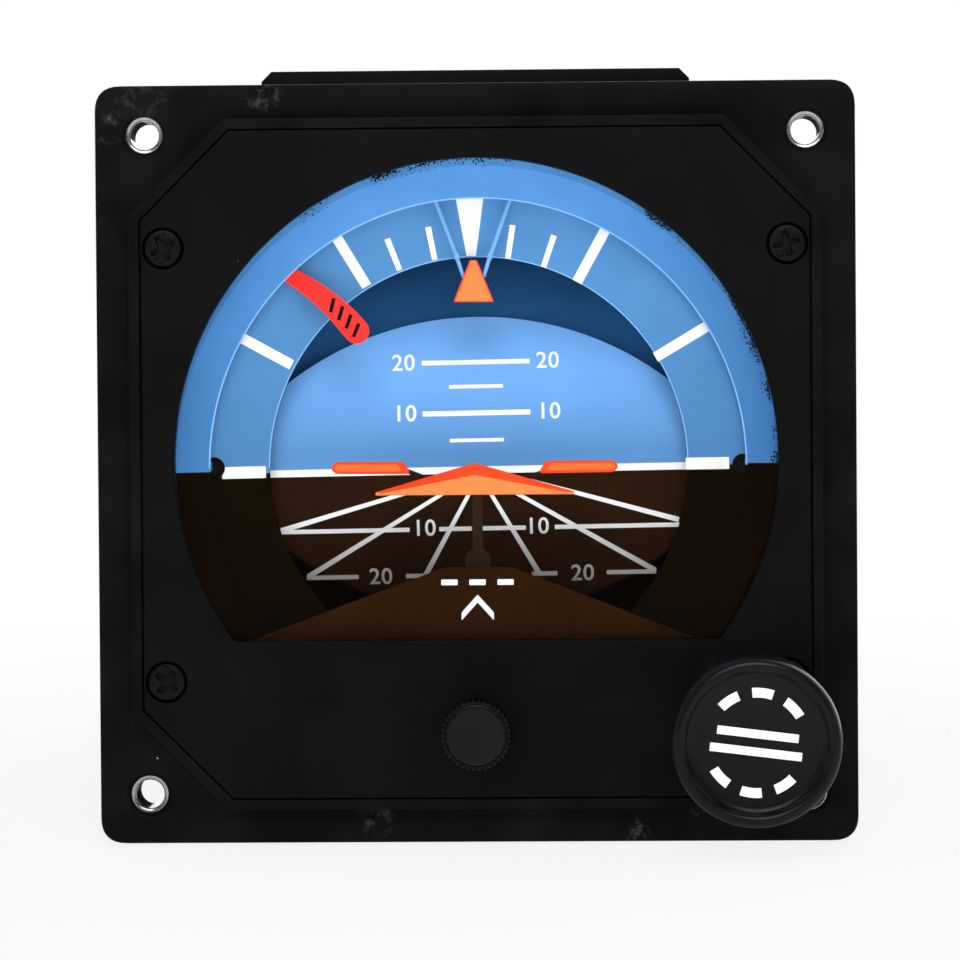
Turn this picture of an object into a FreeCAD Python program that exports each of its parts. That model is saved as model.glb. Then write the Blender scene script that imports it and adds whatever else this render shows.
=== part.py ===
import FreeCAD, Part
import math
import os
import re
import Sketcher

# Attitude indicator for an aircraft instrument panel. Millimetres.
# +Z is up, -Y points out of the panel at the pilot and +X is the pilot's right.
# The origin is the centre of the four mounting inserts, on the flange's panel face.
# Lengths along Y that are called a depth or a thickness run from the pilot rearwards.

SIZES = [
    # flange and octagonal rim
    ("flange_width", 88.9, "side of the square flange"),
    ("flange_thickness", 5.5, "panel face to rear face"),
    ("flange_corner", 3.0, "corner radius of the flange"),
    ("mount_spacing", 77.3, "insert to insert, along X and along Z"),
    ("insert_diameter", 4.3, "outside of a mounting insert"),
    ("insert_bore", 3.5, "thread of a mounting insert"),
    ("insert_recess", 4.9, "shallow counterbore round an insert"),
    ("recess_depth", 0.35, "depth of that counterbore"),
    ("octagon_width", 80.6, "across the flats of the rim"),
    ("octagon_cut", 11.2, "leg of each cut corner"),
    ("octagon_height", 2.4, "how far the rim stands out of the panel face"),
    ("rim_width", 1.0, "wall of the rim round the front plate"),
    ("fit_gap", 0.15, "gap round a part that drops into a recess"),
    ("bore_gap", 0.02, "radial gap of a pressed or screwed part"),
    ("run_gap", 0.05, "radial gap of a running fit"),
    ("seat_gap", 0.05, "gap between curved faces that seat on each other"),
    # front plate, glass and mask
    ("plate_thickness", 2.0, "front plate"),
    ("plate_screw_x", 72.6, "front plate screws, across"),
    ("plate_screw_z", 50.6, "front plate screws, up and down"),
    ("window_radius", 35.2, "window in the front plate"),
    ("window_rise", 0.4, "window centre above the flange centre"),
    ("window_chord", 20.6, "straight lower edge below the flange centre"),
    ("glass_radius", 37.3, "glass pane"),
    ("glass_thickness", 1.8, "glass pane"),
    ("glass_margin", 2.6, "how far the glass reaches below the chord"),
    ("gasket_thickness", 0.3, "gasket behind the glass"),
    ("gasket_width", 1.6, "gasket behind the glass"),
    ("lip_thickness", 1.2, "outer lip of the dial mask"),
    ("mask_throat", 35.5, "radius where the mask's cone starts"),
    ("mask_inner", 31.8, "radius of the mask's inner edge"),
    ("mask_depth", 3.3, "lip to inner edge"),
    ("mask_wall", 0.5, "wall of the mask's cone"),
    ("mask_land", 1.6, "flat land round the mask's inner edge"),
    ("dial_drop", 0.5, "dial axis below the flange centre"),
    ("hill_top", 12.0, "lower mask: flat top below the dial axis"),
    ("hill_flat", 7.8, "lower mask: width of the flat top"),
    ("hill_foot_x", 25.4, "lower mask: half width where the slopes end"),
    ("hill_foot_z", 19.3, "lower mask: slopes end this far below the dial axis"),
    ("hill_thickness", 0.6, "lower mask"),
    # bank pointer and flag
    ("pointer_top", 24.6, "pointer tip above the dial axis"),
    ("pointer_base", 19.6, "pointer base above the dial axis"),
    ("pointer_width", 4.8, "pointer base width"),
    ("pointer_depth", 1.8, "pointer behind the mask"),
    ("pointer_thickness", 0.6, "pointer plate"),
    ("leg_width", 0.9, "pointer leg"),
    ("leg_thickness", 0.4, "pointer leg"),
    ("leg_spread", 9.6, "between the legs at the mask"),
    ("flag_gap", 0.3, "mask to flag"),
    ("flag_thickness", 0.4, "flag plate"),
    ("flag_pivot_x", 35.4, "flag pivot left of the dial axis"),
    ("flag_pivot_z", 0.7, "flag pivot below the dial axis"),
    ("flag_radius", 27.05, "pivot to the middle of the flag's arc"),
    ("flag_width", 2.5, "flag's arc"),
    ("flag_hub", 1.9, "radius of the flag's hub"),
    ("post_radius", 0.8, "flag post"),
    # bank ring, drum and gimbals
    ("bank_gap", 0.5, "flag to bank ring"),
    ("bank_outer", 33.2, "bank ring"),
    ("bank_inner", 25.2, "bank ring"),
    ("bank_dish", 2.8, "how far the inner edge lies behind the outer"),
    ("bank_depth", 2.2, "outer edge of the ring to its seat"),
    ("bank_edge", 0.6, "thickness at the inner edge"),
    ("bank_screw_radius", 31.6, "screws of the bank ring from the dial axis"),
    ("carrier_inner", 29.4, "carrier ring behind the bank ring"),
    ("carrier_depth", 2.0, "front part of the carrier ring"),
    ("carrier_flange", 0.8, "rear flange of the carrier ring"),
    ("carrier_outer", 36.2, "rear flange of the carrier ring"),
    ("drum_gap", 0.6, "carrier ring to drum"),
    ("drum_radius", 37.0, "front face of the drum from the pitch axis"),
    ("drum_wall", 0.8, "drum sheet"),
    ("drum_half", 32.1, "half the drum's length along X"),
    ("drum_trim", 37.6, "radius of the drum's upper and lower edges"),
    ("drum_sink", 19.5, "centre of that radius beyond the dial axis"),
    ("arm_inner", 32.7, "yoke arms from the dial axis"),
    ("arm_thickness", 3.2, "yoke arms"),
    ("arm_height", 12.0, "yoke arms"),
    ("yoke_reach", 40.0, "pitch axis to the yoke's rear plate"),
    ("yoke_plate", 4.0, "yoke's rear plate"),
    ("hoop_inner", 35.0, "hoop that ties the yoke arms"),
    ("hoop_wall", 1.6, "hoop"),
    ("hoop_setback", 16.0, "hoop front ahead of the pitch axis"),
    ("hoop_depth", 4.0, "hoop"),
    ("backdrop_radius", 35.0, "curved backdrop from the pitch axis"),
    ("backdrop_wall", 0.6, "curved backdrop"),
    ("backdrop_half", 28.5, "half its length along X"),
    ("backdrop_angle", 66.0, "half its arc, in degrees"),
    ("pivot_radius", 1.5, "pitch shafts"),
    ("pitch_bearing", 3.5, "outside radius of a pitch bearing"),
    # gyro
    ("housing_radius", 24.0, "gyro housing"),
    ("housing_wall", 2.5, "gyro housing"),
    ("housing_bottom", 22.0, "below the pitch axis"),
    ("housing_split", 14.0, "cover joint above the pitch axis"),
    ("housing_top", 22.0, "above the pitch axis"),
    ("rotor_radius", 20.8, "gyro rotor"),
    ("rotor_height", 24.0, "gyro rotor"),
    ("rotor_shaft", 2.0, "radius of the rotor shaft"),
    ("spin_bearing", 4.0, "outside radius of a spin bearing"),
    ("stator_radius", 11.0, "motor stator"),
    ("weight_radius", 8.0, "pendulous weight"),
    ("weight_height", 5.0, "pendulous weight"),
    # roll shaft and caging
    ("shaft_radius", 4.0, "roll shaft"),
    ("shaft_flange", 10.0, "radius of the roll shaft's flange"),
    ("cam_radius", 12.0, "caging cam"),
    ("cam_low", 1.5, "thin side of the caging cam"),
    ("cam_high", 5.0, "thick side of the caging cam"),
    ("caging_space", 23.0, "yoke to bearing bulkhead"),
    ("bulkhead_thickness", 4.0, "bearing bulkhead"),
    ("hub_radius", 13.0, "bearing tube on the bulkhead"),
    ("hub_length", 28.0, "bearing tube on the bulkhead"),
    ("roll_bearing", 9.5, "outside radius of a roll bearing"),
    ("bearing_width", 5.0, "roll bearing"),
    ("slip_radius", 6.6, "slip rings"),
    ("slip_length", 12.0, "slip rings"),
    # knobs
    ("adjust_drop", 31.0, "adjusting shaft below the flange centre"),
    ("adjust_radius", 4.05, "adjusting knob over its teeth"),
    ("adjust_face", 3.35, "flat front disc of the adjusting knob"),
    ("adjust_length", 7.6, "adjusting knob"),
    ("adjust_shaft", 1.25, "radius of the adjusting shaft"),
    ("erect_x", 31.7, "erect rod right of the flange centre"),
    ("erect_z", 31.4, "erect rod below the flange centre"),
    ("erect_radius", 9.65, "erect knob"),
    ("erect_stand", 5.2, "gap between the front plate and the erect knob"),
    ("erect_length", 9.6, "erect knob"),
    ("erect_rod", 1.6, "radius of the erect rod"),
    ("erect_travel", 6.5, "how far the erect knob pulls out"),
    ("bush_radius", 2.8, "bush of the erect rod"),
    ("bush_wall", 1.35, "bush of the adjusting shaft"),
    ("cage_thickness", 3.0, "caging arm"),
    # airplane symbol, slider and slider cover
    ("symbol_thickness", 1.2, "delta and wings"),
    ("symbol_stand", 0.6, "delta and wings ahead of the slider"),
    ("delta_half", 11.85, "half the delta's width"),
    ("delta_rise", 0.45, "delta's tip above the dial axis"),
    ("delta_foot", 3.45, "delta's base below the dial axis"),
    ("wing_inner", 8.2, "inner tip of a wing from the middle plane"),
    ("wing_outer", 16.9, "outer end of a wing from the middle plane"),
    ("wing_half", 0.72, "half a wing's height"),
    ("slider_gap", 0.7, "mask lip to slider"),
    ("slider_thickness", 1.0, "slider plate"),
    ("slider_half", 5.0, "half the slider's width"),
    ("slider_foot", 4.6, "slider's lower edge below the adjusting shaft"),
    ("slider_rise", 6.8, "slider's upper edge above the adjusting shaft"),
    ("slider_travel", 2.2, "slider, up and down from the middle"),
    ("slide_gap", 0.1, "gap between the slider and what guides it"),
    ("cover_half", 8.2, "half the slider cover's width"),
    ("cover_foot", 7.0, "slider cover's lower edge below the adjusting shaft"),
    ("cover_height", 12.4, "slider cover"),
    ("cover_screw", 6.7, "slider cover's screws from the middle plane"),
    # case
    ("case_wall", 1.6, "case shell"),
    ("case_length", 170.0, "case shell"),
    ("case_gap", 0.1, "parts that slide into the case"),
    ("seal_thickness", 0.5, "front and rear seals"),
    ("rear_thickness", 2.5, "rear cover plate"),
    ("spigot_depth", 6.0, "rear cover inside the case"),
    ("spigot_wall", 2.2, "rear cover and front lugs inside the case"),
    ("lug_depth", 7.5, "front lugs inside the case"),
    ("lug_width", 4.0, "front lugs inside the case"),
    ("case_screw_x", 27.4, "case screws from the middle plane"),
    ("hood_width", 50.8, "top cover"),
    ("hood_height", 6.3, "top cover above the case"),
    ("hood_length", 70.0, "top cover"),
    ("hood_wall", 1.2, "top cover"),
    ("board_width", 44.0, "circuit board"),
    ("board_length", 62.0, "circuit board"),
    ("plug_radius", 9.0, "connector barrel"),
    ("plug_length", 16.0, "connector barrel"),
    ("plug_flange", 23.0, "square flange of the connector"),
]

doc = FreeCAD.newDocument("attitude_indicator")
sheet = doc.addObject("Spreadsheet::Sheet", "dims")
for row, (alias, amount, meaning) in enumerate(SIZES, start=1):
    sheet.set(f"A{row}", meaning)
    sheet.set(f"B{row}", str(amount))
    sheet.setAlias(f"B{row}", alias)
doc.recompute()

VECTOR = FreeCAD.Vector
WORD = re.compile(r"[a-z]+(?:_[a-z]+)+")
SCRATCH_CELL = "E1"
NODES = []


# ---------------------------------------------------------------- helpers


def value(alias):
    """One driving size as a number."""
    return float(sheet.get(alias))


def number(text):
    """The value of a formula written in the sheet's words."""
    sheet.set(SCRATCH_CELL, "=" + text)
    sheet.recompute()
    return float(sheet.get(SCRATCH_CELL))


def bind(thing, prop, text):
    """Bind a property to a formula written in the sheet's words."""
    thing.setExpression(prop, WORD.sub(lambda word: "dims." + word.group(0), text))


def place(thing, spot):
    for axis, text in zip("xyz", spot):
        bind(thing, "Placement.Base." + axis, text)


def keep(thing, node):
    """Name a finished sub-part."""
    thing.Label = node
    NODES.append(thing)
    return thing


def box(name, size, spot):
    """Box of the given size, with its lowest corner at spot."""
    block = doc.addObject("Part::Box", name)
    for prop, text in zip(("Length", "Width", "Height"), size):
        bind(block, prop, text)
    place(block, spot)
    return block


TURN_TO = {
    "X": FreeCAD.Rotation(VECTOR(0, 1, 0), 90),
    "Y": FreeCAD.Rotation(VECTOR(1, 0, 0), -90),
    "Z": FreeCAD.Rotation(),
    "-X": FreeCAD.Rotation(VECTOR(0, 1, 0), -90),
    "-Y": FreeCAD.Rotation(VECTOR(1, 0, 0), 90),
    "-Z": FreeCAD.Rotation(VECTOR(1, 0, 0), 180),
}


def rod(name, radius, length, spot, axis="Y"):
    """Cylinder that starts at spot and runs along an axis."""
    bar = doc.addObject("Part::Cylinder", name)
    bind(bar, "Radius", radius)
    bind(bar, "Height", length)
    bar.Placement.Rotation = TURN_TO[axis]
    place(bar, spot)
    return bar


def tube(name, outer, inner, length, spot, axis="Y"):
    """Hollow cylinder."""
    wall = rod(name + "_outside", outer, length, spot, axis)
    bore = rod(name + "_bore", inner, length, spot, axis)
    return minus(name, wall, [bore])


def joined(name, pieces):
    whole = doc.addObject("Part::MultiFuse", name)
    whole.Shapes = pieces
    whole.Refine = True
    return whole


def minus(name, base, tools):
    tool = tools[0] if len(tools) == 1 else joined(name + "_tools", tools)
    rest = doc.addObject("Part::Cut", name)
    rest.Base = base
    rest.Tool = tool
    return rest


def shared(name, first, second):
    common = doc.addObject("Part::Common", name)
    common.Base = first
    common.Tool = second
    return common


def group(name, pieces):
    """Separate solids of one kind in one sub-part."""
    together = doc.addObject("Part::Compound", name)
    together.Links = pieces
    return together


def copies(name, master, spots, facing, spins=(0,)):
    """Copies of a master piece, each at its spot and spun about its own axis."""
    links = []
    for index, spot in enumerate(spots):
        link = doc.addObject("App::Link", name + "_copy")
        link.LinkedObject = master
        spin = FreeCAD.Rotation(VECTOR(0, 0, 1), spins[index % len(spins)])
        link.Placement.Rotation = TURN_TO[facing].multiply(spin)
        place(link, spot)
        links.append(link)
    return links


def body(name):
    return doc.addObject("PartDesign::Body", name)


# Where a sketch's own axes point, and which way its normal runs.
PLANES = {"XZ": ("XZ_Plane", -1), "YZ": ("YZ_Plane", 1), "XY": ("XY_Plane", 1)}


def sketch(part, plane, start):
    """Sketch on an origin plane of the body, moved to start along the plane's axis."""
    role, sign = PLANES[plane]
    drawing = part.newObject("Sketcher::SketchObject", "Sketch")
    support = next(face for face in part.Origin.OriginFeatures if face.Role == role)
    drawing.AttachmentSupport = [(support, "")]
    drawing.MapMode = "FlatFace"
    bind(drawing, "AttachmentOffset.Base.z", f"{sign} * ({start})")
    return drawing


def fix(drawing, kind, geometry, point, text):
    """Bind a point's distance from the sketch origin."""
    limit = Sketcher.Constraint(kind, -1, 1, geometry, point, number(text))
    bind(drawing, f"Constraints[{drawing.addConstraint(limit)}]", text)


def outline(drawing, points):
    """Closed outline of straight lines through bound points."""
    spots = [VECTOR(number(across), number(up), 0) for across, up in points]
    first = drawing.GeometryCount
    count = len(points)
    for index, spot in enumerate(spots):
        drawing.addGeometry(Part.LineSegment(spot, spots[(index + 1) % count]), False)
    for index in range(count):
        follower = first + (index + 1) % count
        drawing.addConstraint(Sketcher.Constraint("Coincident", first + index, 2, follower, 1))
    for index, (across, up) in enumerate(points):
        fix(drawing, "DistanceX", first + index, 1, across)
        fix(drawing, "DistanceY", first + index, 1, up)


def circle(drawing, across, up, radius):
    middle = VECTOR(number(across), number(up), 0)
    index = drawing.addGeometry(Part.Circle(middle, VECTOR(0, 0, 1), number(radius)), False)
    fix(drawing, "DistanceX", index, 3, across)
    fix(drawing, "DistanceY", index, 3, up)
    size = drawing.addConstraint(Sketcher.Constraint("Radius", index, number(radius)))
    bind(drawing, f"Constraints[{size}]", radius)


def pad(part, plane, start, length, points=None, circles=()):
    """Material from start, length long, towards the positive axis."""
    drawing = sketch(part, plane, start)
    if points:
        outline(drawing, points)
    for ring in circles:
        circle(drawing, *ring)
    feature = part.newObject("PartDesign::Pad", "Pad")
    feature.Profile = drawing
    bind(feature, "Length", length)
    feature.Reversed = plane == "XZ"
    return feature


def pocket(part, plane, start, length, points=None, circles=()):
    """Cut from start, length long, towards the positive axis."""
    drawing = sketch(part, plane, start)
    if points:
        outline(drawing, points)
    for ring in circles:
        circle(drawing, *ring)
    feature = part.newObject("PartDesign::Pocket", "Pocket")
    feature.Profile = drawing
    bind(feature, "Length", length)
    feature.Reversed = plane != "XZ"
    return feature


def turned(name, points, axis="Y", spot=("0", "0", "0")):
    """Body turned from (radius, station) points about an axis through spot."""
    part = body(name)
    drawing = sketch(part, "XZ" if axis == "Z" else "XY", "0")
    if axis == "X":
        outline(drawing, [(station, radius) for radius, station in points])
    else:
        outline(drawing, points)
    feature = part.newObject("PartDesign::Revolution", "Revolution")
    feature.Profile = drawing
    feature.ReferenceAxis = (drawing, ["H_Axis" if axis == "X" else "V_Axis"])
    feature.Angle = 360
    place(part, spot)
    return part


def rounded(part, radius, wanted):
    """Round the edges of a body's tip that the wanted test picks."""
    doc.recompute()
    tip = part.Tip
    names = []
    for index, edge in enumerate(tip.Shape.Edges, start=1):
        if wanted(edge):
            names.append(f"Edge{index}")
    feature = part.newObject("PartDesign::Fillet", "Fillet")
    feature.Base = (tip, names)
    bind(feature, "Radius", radius)
    return feature


def octagon(width, cut):
    """Corners of a square with cut corners, about the flange centre."""
    half = f"({width}) / 2"
    near = f"(({width}) / 2 - ({cut}))"
    return [
        (f"-{near}", f"-{half}"), (near, f"-{half}"), (half, f"-{near}"), (half, near),
        (near, half), (f"-{near}", half), (f"-{half}", near), (f"-{half}", f"-{near}"),
    ]


def rectangle(left, right, low, high):
    return [(left, low), (right, low), (right, high), (left, high)]


def corners(across, up, station):
    """Four spots of a rectangular pattern about the flange centre."""
    return [
        (f"{x_sign}{across} / 2", station, f"{z_sign}{up} / 2")
        for x_sign, z_sign in (("-", ""), ("", ""), ("-", "-"), ("", "-"))
    ]


# ---------------------------------------------------------------- stations along Y

DIAL_Z = "-dial_drop"
PLATE_FRONT = "(-octagon_height)"
GLASS_FRONT = "(plate_thickness - octagon_height)"
GLASS_BACK = f"({GLASS_FRONT} + glass_thickness)"
LIP_FRONT = f"({GLASS_BACK} + gasket_thickness)"
LIP_BACK = f"({LIP_FRONT} + lip_thickness)"
MASK_BACK = f"({LIP_BACK} + mask_depth)"
FLAG_FRONT = f"({MASK_BACK} + flag_gap)"
FLAG_BACK = f"({FLAG_FRONT} + flag_thickness)"
BANK_FRONT = f"({FLAG_BACK} + bank_gap)"
BANK_SEAT = f"({BANK_FRONT} + bank_depth)"
CARRIER_STEP = f"({BANK_SEAT} + carrier_depth)"
CARRIER_BACK = f"({CARRIER_STEP} + carrier_flange)"
DRUM_FRONT = f"({CARRIER_BACK} + drum_gap)"
PITCH_Y = f"({DRUM_FRONT} + drum_radius)"
YOKE_FRONT = f"({PITCH_Y} + yoke_reach)"
YOKE_BACK = f"({YOKE_FRONT} + yoke_plate)"
BULKHEAD_FRONT = f"({YOKE_BACK} + caging_space)"
BULKHEAD_BACK = f"({BULKHEAD_FRONT} + bulkhead_thickness)"
HUB_BACK = f"({BULKHEAD_BACK} + hub_length)"
CASE_FRONT = "(flange_thickness + seal_thickness)"
CASE_BACK = f"({CASE_FRONT} + case_length)"
COVER_FRONT = f"({CASE_BACK} + seal_thickness)"
COVER_BACK = f"({COVER_FRONT} + rear_thickness)"
BELOW_GLASS = "(window_chord + glass_margin)"

# The case's inner octagon keeps the wall even round the cut corners.
CORNER_SHARE = 2 - math.sqrt(2)
CASE_INNER = "(octagon_width - 2 * case_wall)"
CASE_INNER_CUT = f"(octagon_cut - {CORNER_SHARE:.6f} * case_wall)"
CASE_SIDE = f"({CASE_INNER} / 2)"


def inside_case(clearance="case_gap"):
    """Corners of the case's inner outline, less a clearance all round."""
    width = f"{CASE_INNER} - 2 * {clearance}"
    return octagon(width, f"{CASE_INNER_CUT} - {CORNER_SHARE:.6f} * {clearance}")


# ---------------------------------------------------------------- fasteners


def cross_head_screw(name, head_radius, head_height, shank_radius, shank_length, flat):
    """Cross-recess screw along Z, with the top of its head at the origin."""
    total = f"({head_height} + {shank_length})"
    if flat:
        points = [
            ("0", "0"), (f"{head_radius}", "0"), (f"{head_radius}", f"-{head_height} * 0.2"),
            (f"{shank_radius}", f"-{head_height}"), (f"{shank_radius}", f"-{total}"), ("0", f"-{total}"),
        ]
    else:
        points = [
            ("0", "0"), (f"{head_radius} * 0.8", "0"), (f"{head_radius}", f"-{head_height} * 0.4"),
            (f"{head_radius}", f"-{head_height}"), (f"{shank_radius}", f"-{head_height}"),
            (f"{shank_radius}", f"-{total}"), ("0", f"-{total}"),
        ]
    blank = turned(name + "_blank", points, "Z")
    arm = f"{head_radius} * 1.2"
    slot = f"{head_radius} * 0.26"
    depth = f"{head_height} * 0.6"
    across = box(name + "_slot", (arm, slot, depth), (f"-({arm}) / 2", f"-({slot}) / 2", f"-({depth})"))
    along = box(name + "_slot", (slot, arm, depth), (f"-({slot}) / 2", f"-({arm}) / 2", f"-({depth})"))
    return minus(name, blank, [across, along])


# Head radius, head height, shank radius and shank length.
PLATE_SCREW = ("2.1", "1.3", "1.25", "3.6")
CASE_SCREW = ("1.5", "0.9", "0.8", "3.0")
SMALL_SCREW = ("1.3", "0.7", "0.7", "1.6")
RING_SCREW = ("1.3", "0.8", "0.8", "2.6")
PLATE_SCREW_SPINS = (28, 12, 55, 40)


def clearance_for(screw, gap="0.1"):
    """Radii and depths of the hole for a flat-head screw, with its head flush."""
    head, height, shank, length = screw
    return f"({head} + {gap})", f"({height})", f"({shank} + {gap})", f"({length})"


def countersunk_hole(name, screw, spot, facing, gap="0.1"):
    """Tool that cuts the seat and the hole of a flat-head screw whose top is at spot."""
    head, height, shank, length = clearance_for(screw, gap)
    total = f"({height} + {length} + 0.2)"
    points = [
        ("0", "0.5"), (head, "0.5"), (head, f"-{height} * 0.2 - 0.05"), (shank, f"-{height} - 0.05"),
        (shank, f"-{total}"), ("0", f"-{total}"),
    ]
    tool = turned(name, points, "Z", spot)
    tool.Placement.Rotation = TURN_TO[facing]
    return tool


# ---------------------------------------------------------------- front: bezel, plate, glass


def d_shape(name, radius, front, length, low):
    """Disc about the window centre, cut off flat at low below the flange centre."""
    disc = rod(name + "_disc", radius, length, ("0", front, "window_rise"))
    span = f"(2 * ({radius}))"
    block = box(name + "_block", (span, length, span), (f"-({radius})", front, f"-({low})"))
    return shared(name, disc, block)


SLIDER_FRONT = f"({LIP_BACK} + slider_gap)"
SLIDER_LOW = "(adjust_drop + slider_foot)"
SLIDER_HIGH = "(adjust_drop - slider_rise)"
SLIDER_LOWEST = f"({SLIDER_LOW} + slider_travel + 3 * slide_gap)"
COVER_PLATE_FRONT = f"({SLIDER_FRONT} + slider_thickness + slide_gap)"


def flange_bezel():
    part = body("bezel_blank")
    half = "flange_width / 2"
    pad(part, "XZ", "0", "flange_thickness", rectangle(f"-{half}", half, f"-{half}", half))
    edge = number("flange_width / 2")

    def at_corner(edge_shape):
        middle = edge_shape.CenterOfMass
        return abs(abs(middle.x) - edge) < 0.01 and abs(abs(middle.z) - edge) < 0.01

    rounded(part, "flange_corner", at_corner)
    pad(part, "XZ", PLATE_FRONT, "octagon_height", octagon("octagon_width", "octagon_cut"))
    pocket(
        part, "XZ", PLATE_FRONT, "plate_thickness",
        octagon("octagon_width - 2 * rim_width", f"octagon_cut - {CORNER_SHARE:.6f} * rim_width"),
    )
    lugs = []
    for side, low in (("-", False), ("", False), ("-", True), ("", True)):
        height = "spigot_wall"
        outer = f"({CASE_SIDE} - case_gap)"
        bottom = f"-{outer}" if low else f"({outer} - {height})"
        lugs.append(
            box(
                "bezel_lug", ("lug_width", "lug_depth + 0.1", height),
                (f"{side}case_screw_x - lug_width / 2", "flange_thickness - 0.1", bottom),
            )
        )
    reach = body("lug_reach")
    pad(reach, "XZ", "(flange_thickness - 0.2)", "lug_depth + 1", inside_case())
    metal = joined("bezel_metal", [part, shared("lugs_trimmed", joined("lugs_whole", lugs), reach)])
    tools = [
        d_shape("glass_recess", "glass_radius + fit_gap", f"({GLASS_FRONT} - 0.1)",
                f"({LIP_BACK} - {GLASS_FRONT} + 0.1)", f"{BELOW_GLASS} + fit_gap"),
        d_shape("dial_opening", "glass_radius - 0.6", f"({LIP_BACK} - 0.1)", "flange_thickness",
                BELOW_GLASS),
    ]
    for spot in corners("mount_spacing", "mount_spacing", "-0.1"):
        tools.append(rod("insert_hole", "insert_diameter / 2 + bore_gap", "flange_thickness + 0.2", spot))
        tools.append(rod("insert_recess_tool", "insert_recess / 2", "recess_depth + 0.1", spot))
    for spot in corners("plate_screw_x", "plate_screw_z", GLASS_FRONT):
        start = (spot[0], f"({spot[1]} - 0.1)", spot[2])
        tools.append(rod("plate_screw_hole", f"{PLATE_SCREW[2]} + bore_gap", "3.4", start))
    tools.append(rod("adjust_hole", "adjust_shaft + bush_wall + bore_gap", "flange_thickness + 1.0",
                     ("0", GLASS_FRONT, "-adjust_drop")))
    tools.append(rod("erect_hole", "bush_radius + bore_gap", "flange_thickness + 4",
                     ("erect_x", f"({GLASS_FRONT} - 1)", "-erect_z")))
    tools.append(
        box("slider_pocket", ("2 * (slider_half + slide_gap)", "flange_thickness",
            f"({SLIDER_LOWEST} - {BELOW_GLASS} + 1.0)"),
            ("-(slider_half + slide_gap)", f"({SLIDER_FRONT} - slide_gap)", f"-{SLIDER_LOWEST}"))
    )
    tools.append(
        box("cover_recess",
            ("2 * (cover_half + slide_gap)", "flange_thickness", "cover_height + 2 * slide_gap"),
            ("-(cover_half + slide_gap)", COVER_PLATE_FRONT, "-(adjust_drop + cover_foot + slide_gap)"))
    )
    for side in ("-", ""):
        spot = (f"{side}cover_screw", f"({COVER_PLATE_FRONT} - 1.8)", "-adjust_drop")
        tools.append(rod("cover_screw_hole", f"{SMALL_SCREW[2]} + bore_gap", "3.0", spot))
        for up, facing in (("-", "-Z"), ("", "Z")):
            start = (f"{side}case_screw_x", "flange_thickness + seal_thickness + 4.0",
                     f"{up}({CASE_SIDE} - 3.0)")
            tools.append(rod("lug_hole", f"{CASE_SCREW[2]} + bore_gap", "4.0", start, facing))
    keep(minus("flange_bezel", metal, tools), "flange_bezel")

    inserts = [
        tube("insert", "insert_diameter / 2", "insert_bore / 2", "flange_thickness - recess_depth", spot)
        for spot in corners("mount_spacing", "mount_spacing", "recess_depth")
    ]
    keep(group("mounting_inserts", inserts), "mounting_inserts")


def front_plate():
    part = body("plate_blank")
    gap = "2 * (rim_width + fit_gap)"
    cut = f"octagon_cut - {CORNER_SHARE:.6f} * (rim_width + fit_gap)"
    pad(part, "XZ", PLATE_FRONT, "plate_thickness", octagon(f"octagon_width - {gap}", cut))
    tools = [d_shape("window", "window_radius", f"({PLATE_FRONT} - 1)", "plate_thickness + 2",
                     "window_chord")]
    for spot in corners("plate_screw_x", "plate_screw_z", f"({PLATE_FRONT} + 0.05)"):
        tools.append(countersunk_hole("plate_screw_seat", PLATE_SCREW, spot, "-Y", "0.15"))
    tools.append(rod("adjust_plate_hole", "adjust_shaft + bush_wall + bore_gap", "plate_thickness + 2",
                     ("0", f"({PLATE_FRONT} - 1)", "-adjust_drop")))
    tools.append(rod("erect_plate_hole", "bush_radius + bore_gap", "plate_thickness + 2",
                     ("erect_x", f"({PLATE_FRONT} - 1)", "-erect_z")))
    keep(minus("front_plate", part, tools), "front_plate")
    screw = cross_head_screw("plate_screw", *PLATE_SCREW, True)
    spots = corners("plate_screw_x", "plate_screw_z", f"({PLATE_FRONT} + 0.05)")
    keep(group("front_plate_screws", copies("plate_screw", screw, spots, "-Y", PLATE_SCREW_SPINS)),
         "front_plate_screws")


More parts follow.
